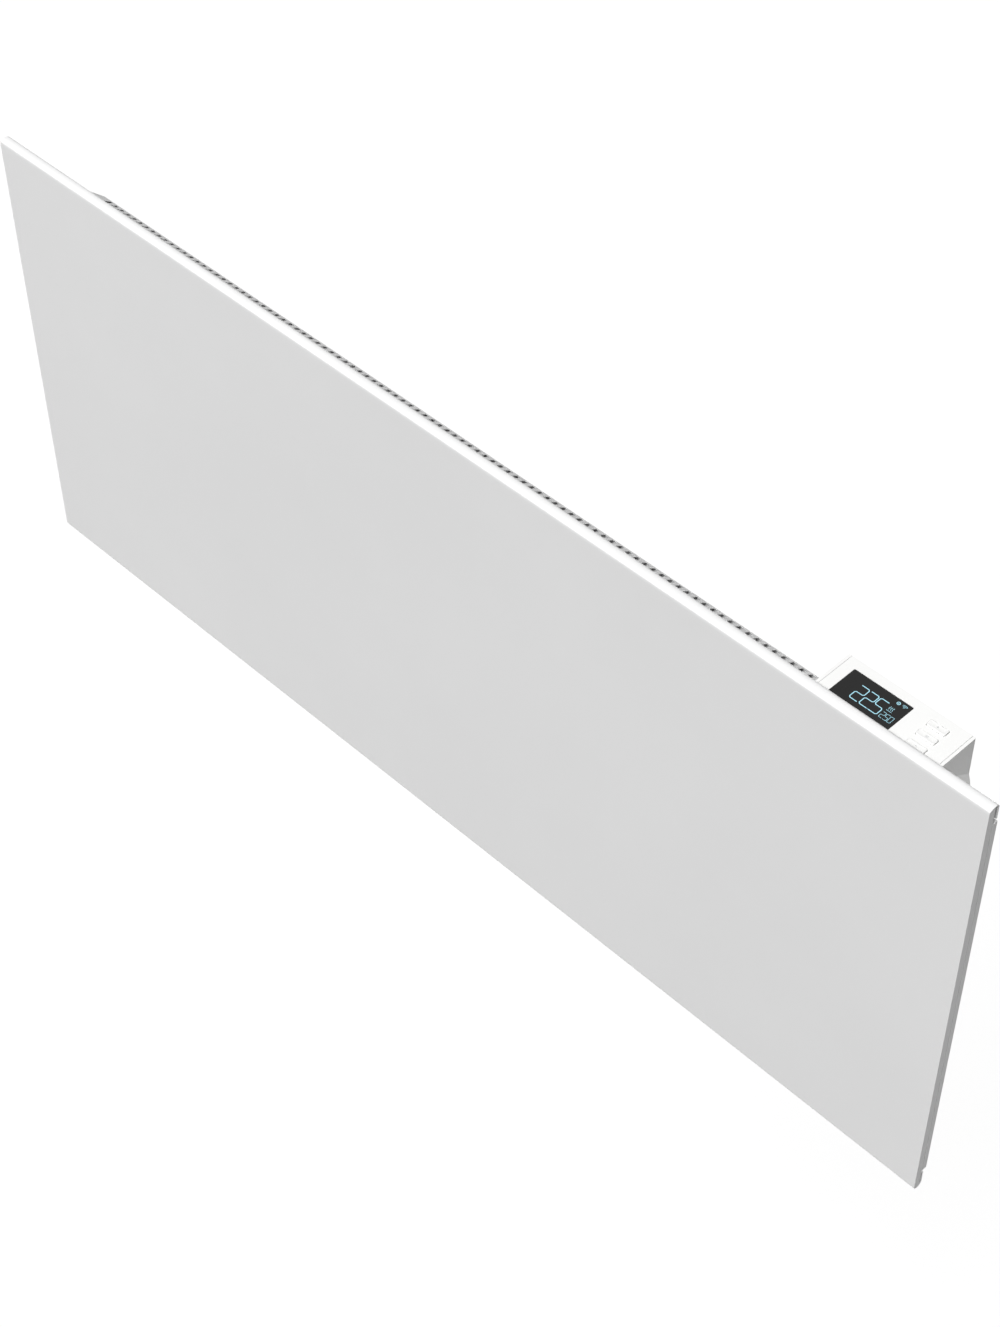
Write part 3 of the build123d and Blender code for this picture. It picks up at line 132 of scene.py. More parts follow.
# ------------------------------------------------------------------ finishes
@dataclass(frozen=True)
class Finish:
    """A surface as it was made: its colour, its shine and the relief of its grain."""

    name: str
    colour: str
    shade: str
    roughness: float
    gloss_drift: float = 0.06
    metallic: float = 0.0
    ior: float = 1.5
    drift_mm: float = 60.0
    grain: Grain = Grain.NOISE
    grain_mm: float = 1.0
    relief_mm: float = 0.01
    stretch: tuple[float, float, float] = (1.0, 1.0, 1.0)

    def material(self) -> bpy.types.Material:
        """Build the material once and hand out the same one after that.

        Returns:
            The Blender material of this finish.
        """
        made = bpy.data.materials.get(self.name)
        if made is None:
            made = bpy.data.materials.new(self.name)
            made.use_nodes = True
            made.node_tree.nodes.clear()
            made.diffuse_color = linear(self.colour)
            self.grow(made.node_tree)
        return made

    def grow(self, tree: bpy.types.NodeTree) -> None:
        """Lay the nodes of the finish.

        Args:
            tree: empty node tree of the material.
        """
        place = add_node(tree, "ShaderNodeTexCoord").outputs["Object"]
        turned = add_node(
            tree, "ShaderNodeMapping", {"Vector": place, "Scale": self.stretch}
        ).outputs["Vector"]
        drift = add_node(
            tree,
            "ShaderNodeTexNoise",
            {"Vector": place, "Scale": 1 / (self.drift_mm * MM), "Detail": 3.0},
        ).outputs["Fac"]
        tint = self.tint(tree, drift, turned)
        height = self.height(tree, turned)
        low, high = self.roughness - self.gloss_drift, self.roughness + self.gloss_drift
        gloss = add_node(
            tree, "ShaderNodeMapRange", {"Value": height, "To Min": low, "To Max": high}
        )
        bump = add_node(
            tree,
            "ShaderNodeBump",
            {"Height": height, "Strength": 1.0, "Distance": self.relief_mm * MM},
        )
        shader = add_node(
            tree,
            "ShaderNodeBsdfPrincipled",
            {
                "Base Color": tint,
                "Roughness": gloss.outputs["Result"],
                "Normal": bump.outputs["Normal"],
                "Metallic": self.metallic,
                "IOR": self.ior,
            },
        )
        self.close(tree, shader)

    def height(
        self, tree: bpy.types.NodeTree, turned: bpy.types.NodeSocket
    ) -> bpy.types.NodeSocket:
        """Draw the grain.

        Args:
            tree: node tree of the material.
            turned: coordinates stretched along the grain.

        Returns:
            Height of the grain, from 0 to 1.
        """
        texture = add_node(
            tree, self.grain.value, {"Vector": turned, "Scale": 1 / (self.grain_mm * MM)}
        )
        if self.grain is Grain.CELLS:
            return texture.outputs["Distance"]
        return texture.outputs["Fac"]

    def tint(
        self, tree: bpy.types.NodeTree, drift: bpy.types.NodeSocket, turned: bpy.types.NodeSocket
    ) -> bpy.types.NodeSocket:
        """Mix the two close shades of the finish.

        Args:
            tree: node tree of the material.
            drift: slow noise over the whole piece.
            turned: coordinates stretched along the grain.

        Returns:
            The colour output.
        """
        ramp = add_node(tree, "ShaderNodeValToRGB", {"Fac": drift})
        stops = zip(ramp.color_ramp.elements, (self.shade, self.colour), DRIFT_STOPS)
        for stop, code, position in stops:
            stop.color = linear(code)
            stop.position = position
        return ramp.outputs["Color"]

    def close(self, tree: bpy.types.NodeTree, shader: bpy.types.Node) -> None:
        """Link the shader to the output."""
        add_node(tree, "ShaderNodeOutputMaterial", {"Surface": shader.outputs[0]})


@dataclass(frozen=True)
class SpangledZinc(Finish):
    """Hot-dip galvanised sheet: frost-like crystals of slightly different grey."""

    def tint(
        self, tree: bpy.types.NodeTree, drift: bpy.types.NodeSocket, turned: bpy.types.NodeSocket
    ) -> bpy.types.NodeSocket:
        """Colour each crystal on its own.

        Args:
            tree: node tree of the material.
            drift: slow noise over the whole piece.
            turned: coordinates stretched along the grain.

        Returns:
            The colour output.
        """
        crystals = add_node(
            tree, Grain.CELLS.value, {"Vector": turned, "Scale": 1 / (self.grain_mm * MM)}
        )
        split = add_node(tree, "ShaderNodeSeparateColor", {"Color": crystals.outputs["Color"]})
        ramp = add_node(tree, "ShaderNodeValToRGB", {"Fac": split.outputs[0]})
        for stop, code in zip(ramp.color_ramp.elements, (self.shade, self.colour)):
            stop.color = linear(code)
        return ramp.outputs["Color"]


@dataclass(frozen=True)
class LitInk(Finish):
    """Segments of a lit display: light of one colour, a little uneven like real backlighting."""

    light: str = "#FFFFFF"

    def close(self, tree: bpy.types.NodeTree, shader: bpy.types.Node) -> None:
        """Make the surface glow.

        Args:
            tree: node tree of the material.
            shader: principled shader of the finish.
        """
        shader.inputs["Emission Color"].default_value = linear(self.light)
        shader.inputs["Emission Strength"].default_value = 1.0
        super().close(tree, shader)


@dataclass(frozen=True)
class StudioFloor(Finish):
    """Painted floor that looks white to the camera and keeps the shadow of the heater."""

    glow: float = 0.82

    def close(self, tree: bpy.types.NodeTree, shader: bpy.types.Node) -> None:
        """Lift the paint to white for the camera, gloss and glass alone.

        Args:
            tree: node tree of the material.
            shader: principled shader of the floor.
        """
        lift = add_node(
            tree, "ShaderNodeMath", {0: seen_directly(tree), 1: self.glow}, operation="MULTIPLY"
        )
        white = add_node(
            tree, "ShaderNodeEmission", {"Color": linear("#FFFFFF"), "Strength": lift.outputs[0]}
        )
        both = add_node(tree, "ShaderNodeAddShader", {0: shader.outputs[0], 1: white.outputs[0]})
        add_node(tree, "ShaderNodeOutputMaterial", {"Surface": both.outputs[0]})


def seen_directly(tree: bpy.types.NodeTree) -> bpy.types.NodeSocket:
    """Say whether a ray comes from the camera, a glossy surface or glass.

    Args:
        tree: node tree of the floor or of the world.

    Returns:
        1 for those rays and 0 for the others.
    """
    rays = add_node(tree, "ShaderNodeLightPath").outputs
    some = add_node(
        tree,
        "ShaderNodeMath",
        {0: rays["Is Camera Ray"], 1: rays["Is Glossy Ray"]},
        operation="MAXIMUM",
    )
    more = add_node(
        tree,
        "ShaderNodeMath",
        {0: some.outputs[0], 1: rays["Is Transmission Ray"]},
        operation="MAXIMUM",
    )
    return more.outputs[0]


# Polyester powder coat on steel, sprayed and baked: a soft satin white whose orange peel breaks up
# the light. The peel is about 1.5 mm from crest to crest.
PANEL_COAT = Finish(
    "powder_coat_front", "#F0F0F0", "#EEEEEE", 0.42, 0.03,
    ior=1.45, drift_mm=140, grain_mm=1.5, relief_mm=0.006,
)
# The same powder on the hidden side: a little greyer and drier.
CASING_COAT = Finish(
    "powder_coat_casing", "#E6E6E6", "#E3E3E3", 0.5, 0.04,
    ior=1.45, drift_mm=90, grain_mm=1.2, relief_mm=0.008,
)
# Injection-moulded ABS with spark-eroded grain of about 0.5 mm: matt and even, with a faint
# sparkle.
WHITE_ABS = Finish(
    "moulded_abs_white", "#F6F6F5", "#F4F4F3", 0.5, 0.05,
    ior=1.54, grain_mm=0.5, relief_mm=0.01,
)
# The same ABS from a polished tool: the keys look a touch shinier than the lid.
KEY_ABS = Finish(
    "polished_abs_key", "#F4F4F3", "#F2F2F1", 0.34, 0.03,
    ior=1.54, grain_mm=0.7, relief_mm=0.004,
)
# Silk-screen ink: pale grey with the slight mottle of the screen's mesh.
KEY_INK = Finish(
    "screen_ink_grey", "#B8BCBF", "#AFB3B7", 0.55, 0.05,
    drift_mm=2, grain_mm=0.3, relief_mm=0.003,
)
# Smoked cast acrylic with a hard coat: nearly black, with a sharp reflection and the odd ripple.
WINDOW = Finish(
    "smoked_acrylic", "#131313", "#121212", 0.12, 0.02,
    ior=1.34, grain_mm=14, relief_mm=0.004,
)
# Backlit segments seen through the acrylic: an icy blue light on ink that is dark when it is off.
SEGMENT = LitInk(
    "lit_segment", "#26343A", "#1F2B30", 0.4, 0.02,
    ior=1.34, drift_mm=6, grain_mm=0.4, relief_mm=0.001, light="#B2ECFC",
)
# Glass-filled polyamide: dark grey with a dry, slightly streaked skin.
BLACK_PA = Finish(
    "glass_filled_pa_black", "#1F2022", "#26282A", 0.55, 0.08,
    ior=1.53, grain_mm=0.6, relief_mm=0.015,
)
# The same polyamide from a polished tool: blacker, with a clear sheen on the rocker's wings.
ROCKER_PA = Finish(
    "polished_pa_black", "#151617", "#1A1B1C", 0.28, 0.04,
    ior=1.53, grain_mm=0.8, relief_mm=0.006,
)
# Unfilled nylon, moulded grey: soft and even, as on cable glands and terminal blocks.
GREY_PA = Finish(
    "nylon_grey", "#8B8F92", "#838789", 0.5, 0.06,
    ior=1.53, grain_mm=0.5, relief_mm=0.012,
)
# Pad-printed ink: opaque off-white that sits on the rocker with a faint edge.
MARK_INK = Finish(
    "pad_print_white", "#E8E8E6", "#DEDEDC", 0.5, 0.05,
    drift_mm=2, grain_mm=0.3, relief_mm=0.003,
)
# Galvanised sheet with spangles of about 3 mm, drawn clear enough to show.
ZINC_SHEET = SpangledZinc(
    "galvanised_sheet", "#B9BDC0", "#A5A9AD", 0.38, 0.1,
    metallic=1.0, grain=Grain.CELLS, grain_mm=3, relief_mm=0.01,
)
# Bright zinc plate on turned and pressed steel: bluish grey, with fine turning lines.
ZINC_PLATE = Finish(
    "bright_zinc_plate", "#C5C9CC", "#B4B9BD", 0.3, 0.08,
    metallic=1.0, drift_mm=4, grain_mm=0.25, relief_mm=0.004,
)
# Mill-finish aluminium: long rolling lines along X, about 0.4 mm apart.
ALUMINIUM = Finish(
    "rolled_aluminium", "#C9CACB", "#B9BBBD", 0.34, 0.1,
    metallic=1.0, grain_mm=0.4, relief_mm=0.005, stretch=(0.03, 1.0, 1.0),
)
# Bright-annealed reflector sheet: nearly a mirror, with soft rolling lines.
BRIGHT_SHEET = Finish(
    "bright_aluminised_sheet", "#D2D3D4", "#C2C4C6", 0.2, 0.06,
    metallic=1.0, grain_mm=0.6, relief_mm=0.004, stretch=(0.02, 1.0, 1.0),
)
# Steatite: unglazed, off-white and finely gritty.
STEATITE = Finish(
    "steatite_ceramic", "#E4DCC9", "#D8CFBA", 0.7, 0.08,
    ior=1.6, grain_mm=0.4, relief_mm=0.02,
)
# Green solder mask over glass cloth: the 0.6 mm weave shows as a faint relief.
SOLDER_MASK = Finish(
    "solder_mask_green", "#1E5A36", "#184C2D", 0.32, 0.06,
    ior=1.55, drift_mm=12, grain=Grain.BANDS, grain_mm=0.6, relief_mm=0.008,
)
# Stack of varnished steel laminations, drawn 0.8 mm apart so that the layers show.
LAMINATIONS = Finish(
    "core_laminations", "#5A5550", "#4A4642", 0.5, 0.1,
    metallic=0.6, grain=Grain.BANDS, grain_mm=0.8, relief_mm=0.03,
)
# EPDM rubber: dull black with the bloom that rubber gets.
RUBBER = Finish(
    "epdm_rubber", "#232323", "#2B2B2A", 0.8, 0.06,
    ior=1.52, drift_mm=8, grain_mm=0.7, relief_mm=0.02,
)
# Silicone sleeving: soft sheen and slightly uneven extrusion.
SLEEVES = {
    name: Finish(
        f"silicone_sleeve_{name}", bright, dark, 0.45, 0.06,
        ior=1.41, drift_mm=20, grain_mm=0.9, relief_mm=0.01,
    )
    for name, bright, dark in (
        ("brown", "#6B4226", "#5E3A21"),
        ("blue", "#2F63A8", "#28579A"),
        ("grey", "#9A9C9E", "#8E9092"),
    )
}
# Matt floor paint: no gloss at all, so that only the heater's soft shadow shows on it.
FLOOR_PAINT = StudioFloor(
    "studio_floor", "#767676", "#747474", 0.9, 0.02,
    drift_mm=900, grain_mm=8, relief_mm=0.01,
)


# ------------------------------------------------------------------ mesh tools
def new_piece(
    name: str, mesh: bmesh.types.BMesh, finish: Finish, body: Body, slot: str
) -> bpy.types.Object:
    """Turn a finished bmesh into a piece that rides on a body.

    Args:
        name: name of the piece.
        mesh: shape in metres, in the frame's place.
        finish: surface of the piece.
        body: what it moves with.
        slot: record's material slot (not used).

    Returns:
        The new object.
    """
    bmesh.ops.recalc_face_normals(mesh, faces=mesh.faces)
    data = bpy.data.meshes.new(name)
    mesh.to_mesh(data)
    mesh.free()
    data.materials.append(finish.material())
    piece = bpy.data.objects.new(name, data)
    bpy.context.scene.collection.objects.link(piece)
    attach(piece, body.value)
    return piece


def shade_by_angle(mesh: bmesh.types.BMesh, degrees: float = 32.0) -> None:
    """Smooth the faces and keep every edge sharper than the given angle.

    Args:
        mesh: shape to shade.
        degrees: angle between two faces from which their edge stays sharp.
    """
    for face in mesh.faces:
        face.smooth = True
    limit = math.radians(degrees)
    for edge in mesh.edges:
        edge.smooth = len(edge.link_faces) == 2 and edge.calc_face_angle(0.0) < limit


def copy_of(node: str, whole: bool = True) -> bmesh.types.BMesh:
    """Copy a CAD node's mesh and merge it.

    Args:
        node: name of the CAD node.
        whole: whether the triangles of a flat face are made one face.

    Returns:
        The copy as a bmesh.
    """
    mesh = bmesh.new()
    mesh.from_mesh(frame["nodes"][node].data)
    bmesh.ops.remove_doubles(mesh, verts=mesh.verts, dist=MERGE_MM * MM)
    if whole:
        bmesh.ops.dissolve_limit(
            mesh, angle_limit=math.radians(FLAT_DEGREES), verts=mesh.verts, edges=mesh.edges,
            delimit={"NORMAL"},
        )
    return mesh


def add_box(mesh: bmesh.types.BMesh, size: Sequence[float], centre: Sequence[float]) -> None:
    """Add a box to a mesh.

    Args:
        mesh: mesh that gets the box.
        size: length along X, Y and Z.
        centre: middle of the box.
    """
    place = Matrix.Translation(centre) @ Matrix.Diagonal((*size, 1.0))
    bmesh.ops.create_cube(mesh, size=1.0, matrix=place)


def round_edges(
    mesh: bmesh.types.BMesh, edges: Iterable[Any], radius: float, segments: int
) -> None:
    """Round some edges of a mesh.

    Args:
        mesh: shape to change.
        edges: edges to round.
        radius: radius of the rounding.
        segments: faces across it.
    """
    bmesh.ops.bevel(
        mesh, geom=list(edges), offset=radius, offset_type="OFFSET", affect="EDGES",
        segments=segments, profile=0.5, material=-1, clamp_overlap=True,
    )


def along(mesh: bmesh.types.BMesh, axis: int) -> list[Any]:
    """Edges that run along one axis.

    Args:
        mesh: shape to search.
        axis: 0, 1 or 2 for X, Y or Z.

    Returns:
        The edges.
    """
    found = []
    for edge in mesh.edges:
        run = edge.verts[1].co - edge.verts[0].co
        if abs(run[axis]) > PARALLEL * run.length:
            found.append(edge)
    return found


def arc(middle: Point, radius: float, degrees: Iterable[float]) -> list[Point]:
    """Points round a middle, at the given angles from the first axis."""
    turns = [math.radians(angle) for angle in degrees]
    return [
        (middle[0] + radius * math.cos(turn), middle[1] + radius * math.sin(turn))
        for turn in turns
    ]


def stroke_mesh(lines: Sequence[Line], width: float, lift: float) -> bmesh.types.BMesh:
    """Draw flat strokes with rounded joints along some lines.

    Args:
        lines: points of each line in mm, in the plane of the drawing.
        width: width of the strokes in mm.
        lift: thickness of the strokes in mm, half of it above the plane.

    Returns:
        The strokes in metres as one thin mesh around Z = 0.
    """
    curve = bpy.data.curves.new("stroke", "CURVE")
    curve.dimensions = "3D"
    curve.bevel_depth = width / 2
    curve.bevel_resolution = 1
    curve.use_fill_caps = True
    for line in lines:
        spline = curve.splines.new("POLY")
        spline.points.add(len(line) - 1)
        for point, (across, up) in zip(spline.points, line):
            point.co = (across, up, 0, 1)
    holder = bpy.data.objects.new("stroke", curve)
    bpy.context.scene.collection.objects.link(holder)
    bpy.context.view_layer.update()
    drawn = bpy.data.meshes.new_from_object(
        holder.evaluated_get(bpy.context.evaluated_depsgraph_get())
    )
    mesh = bmesh.new()
    mesh.from_mesh(drawn)
    bmesh.ops.remove_doubles(mesh, verts=mesh.verts, dist=width * STROKE_SHARE)
    bpy.data.objects.remove(holder)
    bpy.data.curves.remove(curve)
    bpy.data.meshes.remove(drawn)
    bmesh.ops.scale(mesh, verts=mesh.verts, vec=Vector((1, 1, lift / width)) * MM)
    return mesh


def lathe(
    mesh: bmesh.types.BMesh, profile: Line, foot: Vector, axis: Vector, steps: int
) -> list[Any]:
    """Turn a profile about an axis and add it to a mesh.

    Args:
        mesh: mesh that gets the turned shape.
        profile: radius and height of each point in mm, from one end to the other.
        foot: point on the axis where the height is zero.
        axis: unit vector along the axis, at right angles to X.
        steps: faces around the axis, with one edge towards X.

    Returns:
        The faces of the turned shape.
    """
    outward = Vector((1, 0, 0))
    verts = [
        mesh.verts.new(foot + outward * (radius * MM) + axis * (height * MM))
        for radius, height in profile
    ]
    edges = [mesh.edges.new(pair) for pair in zip(verts, verts[1:])]
    before = set(mesh.faces)
    bmesh.ops.spin(
        mesh, geom=verts + edges, cent=foot, axis=axis, dvec=Vector((0, 0, 0)), angle=math.tau,
        steps=steps, use_merge=True, use_duplicate=False,
    )
    bmesh.ops.remove_doubles(mesh, verts=mesh.verts, dist=SEAM_MM * MM)
    turned = [face for face in mesh.faces if face not in before]
    bmesh.ops.recalc_face_normals(mesh, faces=turned)
    return turned


@dataclass
class SubAssembly:
    """What every sub-assembly can do with its CAD nodes and its pieces."""

    body: Body = Body.HEATER
    ease_degrees: float = 38.0

    def slot_of(self, node: str) -> str:
        """Material slot that the record gives a node."""
        rows = frame["record"]["subparts"]
        return next(row["material_slot"] for row in rows if row["node"] == node)

    def dress(self, finish: Finish, *nodes: str) -> None:
        """Give CAD nodes their finish.

        Args:
            finish: surface for them.
            nodes: names of the nodes.
        """
        for node in nodes:
            slots = frame["nodes"][node].data.materials
            slots.clear()
            slots.append(finish.material())
            LOG.info("%s: CAD shape in %s", node, finish.name)

    def soften(
        self,
        node: str,
        finish: Finish,
        width_mm: float,
        body: Body | None = None,
        segments: int = 2,
        mesh: bmesh.types.BMesh | None = None,
    ) -> bpy.types.Object:
        """Replace a CAD node by a copy whose hard edges are eased as the real ones are.

        Args:
            node: name of the CAD node.
            finish: surface of the copy.
            width_mm: width of the eased edge.
            body: what the copy moves with, or the sub-assembly's own body.
            segments: faces across the eased edge.
            mesh: copy that has been shaped and shaded already.

        Returns:
            The copy.
        """
        if mesh is None:
            mesh = copy_of(node)
            shade_by_angle(mesh)
        piece = new_piece(f"{node}_eased", mesh, finish, body or self.body, self.slot_of(node))
        ease = piece.modifiers.new("ease", "BEVEL")
        ease.limit_method = "ANGLE"
        ease.angle_limit = math.radians(self.ease_degrees)
        ease.width = width_mm * MM
        ease.segments = segments
        ease.profile = 0.5
        ease.harden_normals = True
        ease.use_clamp_overlap = True
        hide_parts(node)
        LOG.info("%s: edges eased by %.2f mm in %s", node, width_mm, finish.name)
        return piece


# ------------------------------------------------------------------ sub-assemblies
@dataclass
class FrontPanel(SubAssembly):
    """Wide sheet with its rolls, and the liner and rails that keep it flat."""

    edge_mm: float = 0.25
    snap_mm: float = 0.003
    # Height and depth of each corner of the top bend, in the frame and as pressed.
    bend_mm: tuple[Point, ...] = (
        (180.689, -55.0), (180.954, -54.982), (181.215, -54.93), (181.466, -54.843),
        (181.703, -54.724), (181.923, -54.574), (182.483, -54.073), (182.974, -53.504),
        (183.388, -52.877), (183.717, -52.201),
    )
    pressed_mm: tuple[Point, ...] = (
        (181.15, -55.0), (182.55, -54.83), (182.75, -54.77), (182.88, -54.68),
        (182.98, -54.56), (183.07, -54.42), (183.22, -54.05), (183.42, -53.5),
        (183.63, -52.87), (183.81, -52.2),
    )

    def build(self) -> None:
        """Dress the panel and what stands behind it."""
        self.build_panel()
        self.soften("panel_liner", PANEL_COAT, self.edge_mm)
        self.dress(ZINC_SHEET, "panel_rails")

    def build_panel(self) -> None:
        """Give the top bend the narrow fall that the press leaves between the face and the roll.

        The fall's two edges, the first two rows of corners, stay sharp.
        """
        mesh = copy_of("front_panel")
        shade_by_angle(mesh)
        rows = []
        snap = self.snap_mm * MM
        for (height, depth), (new_height, new_depth) in zip(self.bend_mm, self.pressed_mm):
            place = Vector((0, depth, height)) * MM
            row = {vert for vert in mesh.verts if (vert.co.yz - place.yz).length < snap}
            bmesh.ops.translate(
                mesh, verts=list(row), vec=Vector((0, new_depth - depth, new_height - height)) * MM
            )
            rows.append(row)
        for edge in mesh.edges:
            if any(row.issuperset(edge.verts) for row in rows[:2]):
                edge.smooth = False
        LOG.info("front_panel: %d corners of the top bend pressed", sum(len(row) for row in rows))
        self.soften("front_panel", PANEL_COAT, self.edge_mm, mesh=mesh)


@dataclass
class ConvectorCasing(SubAssembly):
    """Rear casing with its slotted slopes."""

    edge_mm: float = 0.3
    # Slope of the grilles, a point of its outer face (Y and height), and its thickness in the CAD.
    slope_degrees: float = 33.0
    slope_foot_mm: Point = (-12.3, 143.0)
    sheet_mm: float = 1.0
    thin_mm: float = 0.8
    snap_mm: float = 0.01

    def build(self) -> None:
        """Dress the sheets of the casing."""
        for node in ("rear_wall", "left_end", "right_end"):
            self.soften(node, CASING_COAT, self.edge_mm)
        self.build_grille("top_grille", 1)
        self.build_grille("bottom_grille", -1)
        self.dress(ALUMINIUM, "casing_rivets")

    def build_grille(self, node: str, side: int) -> None:
        """Thin the slotted slope from the inside, so that its slots read dark and sharp.

        Args:
            node: CAD node of the slope.
            side: 1 for the top and -1 for the bottom.
        """
        mesh = copy_of(node, whole=False)
        turn = math.radians(self.slope_degrees)
        normal = Vector((0, math.sin(turn), side * math.cos(turn)))
        foot = Vector((0, self.slope_foot_mm[0], side * self.slope_foot_mm[1])) * MM
        inner = [
            vert for vert in mesh.verts
            if abs((vert.co - foot).dot(normal) + self.sheet_mm * MM) < self.snap_mm * MM
        ]
        bmesh.ops.translate(mesh, verts=inner, vec=normal * self.thin_mm * MM)
        shade_by_angle(mesh)
        piece = new_piece(f"{node}_sheet", mesh, CASING_COAT, self.body, self.slot_of(node))
        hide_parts(node)
        LOG.info("%s: %d inner corners moved out", node, len(inner))


@dataclass
class Display:
    """Layout of the lit figures, in mm along X and behind the front face."""

    stroke: float = 0.6
    small_stroke: float = 0.26
    sign_stroke: float = 0.27
    ring_stroke: float = 0.44
    corner: float = 0.14
    big_digits: tuple[tuple[str, float, float], ...] = (
        ("2", 325.2, 330.9), ("2", 332.1, 337.8), ("5", 338.9, 344.6),
    )
    big_depth: Point = (17.2, 29.0)
    big_dot: tuple[Point, ...] = ((338.05, 17.25), (338.5, 17.25))
    small_digits: tuple[tuple[str, float, float], ...] = (
        ("2", 346.3, 348.5), ("5", 349.1, 351.3), ("0", 351.9, 354.1),
    )
    small_depth: Point = (17.2, 22.0)
    small_dot: tuple[Point, ...] = ((351.5, 17.2), (351.7, 17.2))
    link_middle: Point = (348.3, 32.7)
    link_radius: float = 1.0
    link_bar: tuple[Point, ...] = ((348.3, 32.3), (348.3, 33.1))
    # Warm air rising: three wavy lines over a bar.
    warm_across: tuple[float, ...] = (346.9, 348.1, 349.3)
    warm_foot: float = 25.1
    warm_step: float = 0.35
    warm_steps: int = 9
    warm_swing: float = 0.25
    warm_turn: float = 1.2
    warm_bar: tuple[Point, ...] = ((346.3, 24.2), (350.0, 24.2))
    radio_middle: Point = (352.5, 31.4)
    radio_radii: tuple[float, ...] = (0.9, 1.7, 2.5)
    radio_dot: tuple[Point, ...] = ((352.35, 31.4), (352.65, 31.4))

    def digit(self, figure: str, left: float, right: float, low: float, high: float) -> Line:
        """Centre line of one figure with its corners cut off.

        Args:
            figure: which figure to draw.
            left: start along X.
            right: end along X.
            low: foot of the figure.
            high: head of the figure.

        Returns:
            Points of the line.
        """
        cut = (right - left) * self.corner
        middle = (low + high) / 2
        paths = {
            "2": [
                (left, high), (right - cut, high), (right, high - cut), (right, middle + cut),
                (right - cut, middle), (left + cut, middle), (left, middle - cut),
                (left, low + cut), (left + cut, low), (right, low),
            ],
            "5": [
                (right, high), (left + cut, high), (left, high - cut), (left, middle + cut),
                (left + cut, middle), (right - cut, middle), (right, middle - cut),
                (right, low + cut), (right - cut, low), (left, low),
            ],
            "0": [
                (left + cut, high), (right - cut, high), (right, high - cut), (right, low + cut),
                (right - cut, low), (left + cut, low), (left, low + cut), (left, high - cut),
                (left + cut, high),
            ],
        }
        return paths[figure]

    def temperature(self) -> list[Line]:
        """Lines of the large figures and their point."""
        figures = [self.digit(*place, *self.big_depth) for place in self.big_digits]
        return [*figures, self.big_dot]

    def set_point(self) -> list[Line]:
        """Lines of the small figures and their point."""
        figures = [self.digit(*place, *self.small_depth) for place in self.small_digits]
        return [*figures, self.small_dot]

    def link_sign(self) -> list[Line]:
        """Ring and bar of the link sign."""
        return [arc(self.link_middle, self.link_radius, range(0, 361, 20)), self.link_bar]

    def signs(self) -> list[Line]:
        """Lines of the warm air sign and of the radio sign.

        Returns:
            The lines of both signs.
        """
        steps = range(self.warm_steps)
        swings = [self.warm_swing * math.sin(step * self.warm_turn) for step in steps]
        warm = [
            [
                (across + swing, self.warm_foot + step * self.warm_step)
                for step, swing in enumerate(swings)
            ]
            for across in self.warm_across
        ]
        radio = [arc(self.radio_middle, radius, range(45, 136, 15)) for radius in self.radio_radii]
        return [*warm, self.warm_bar, *radio, self.radio_dot]


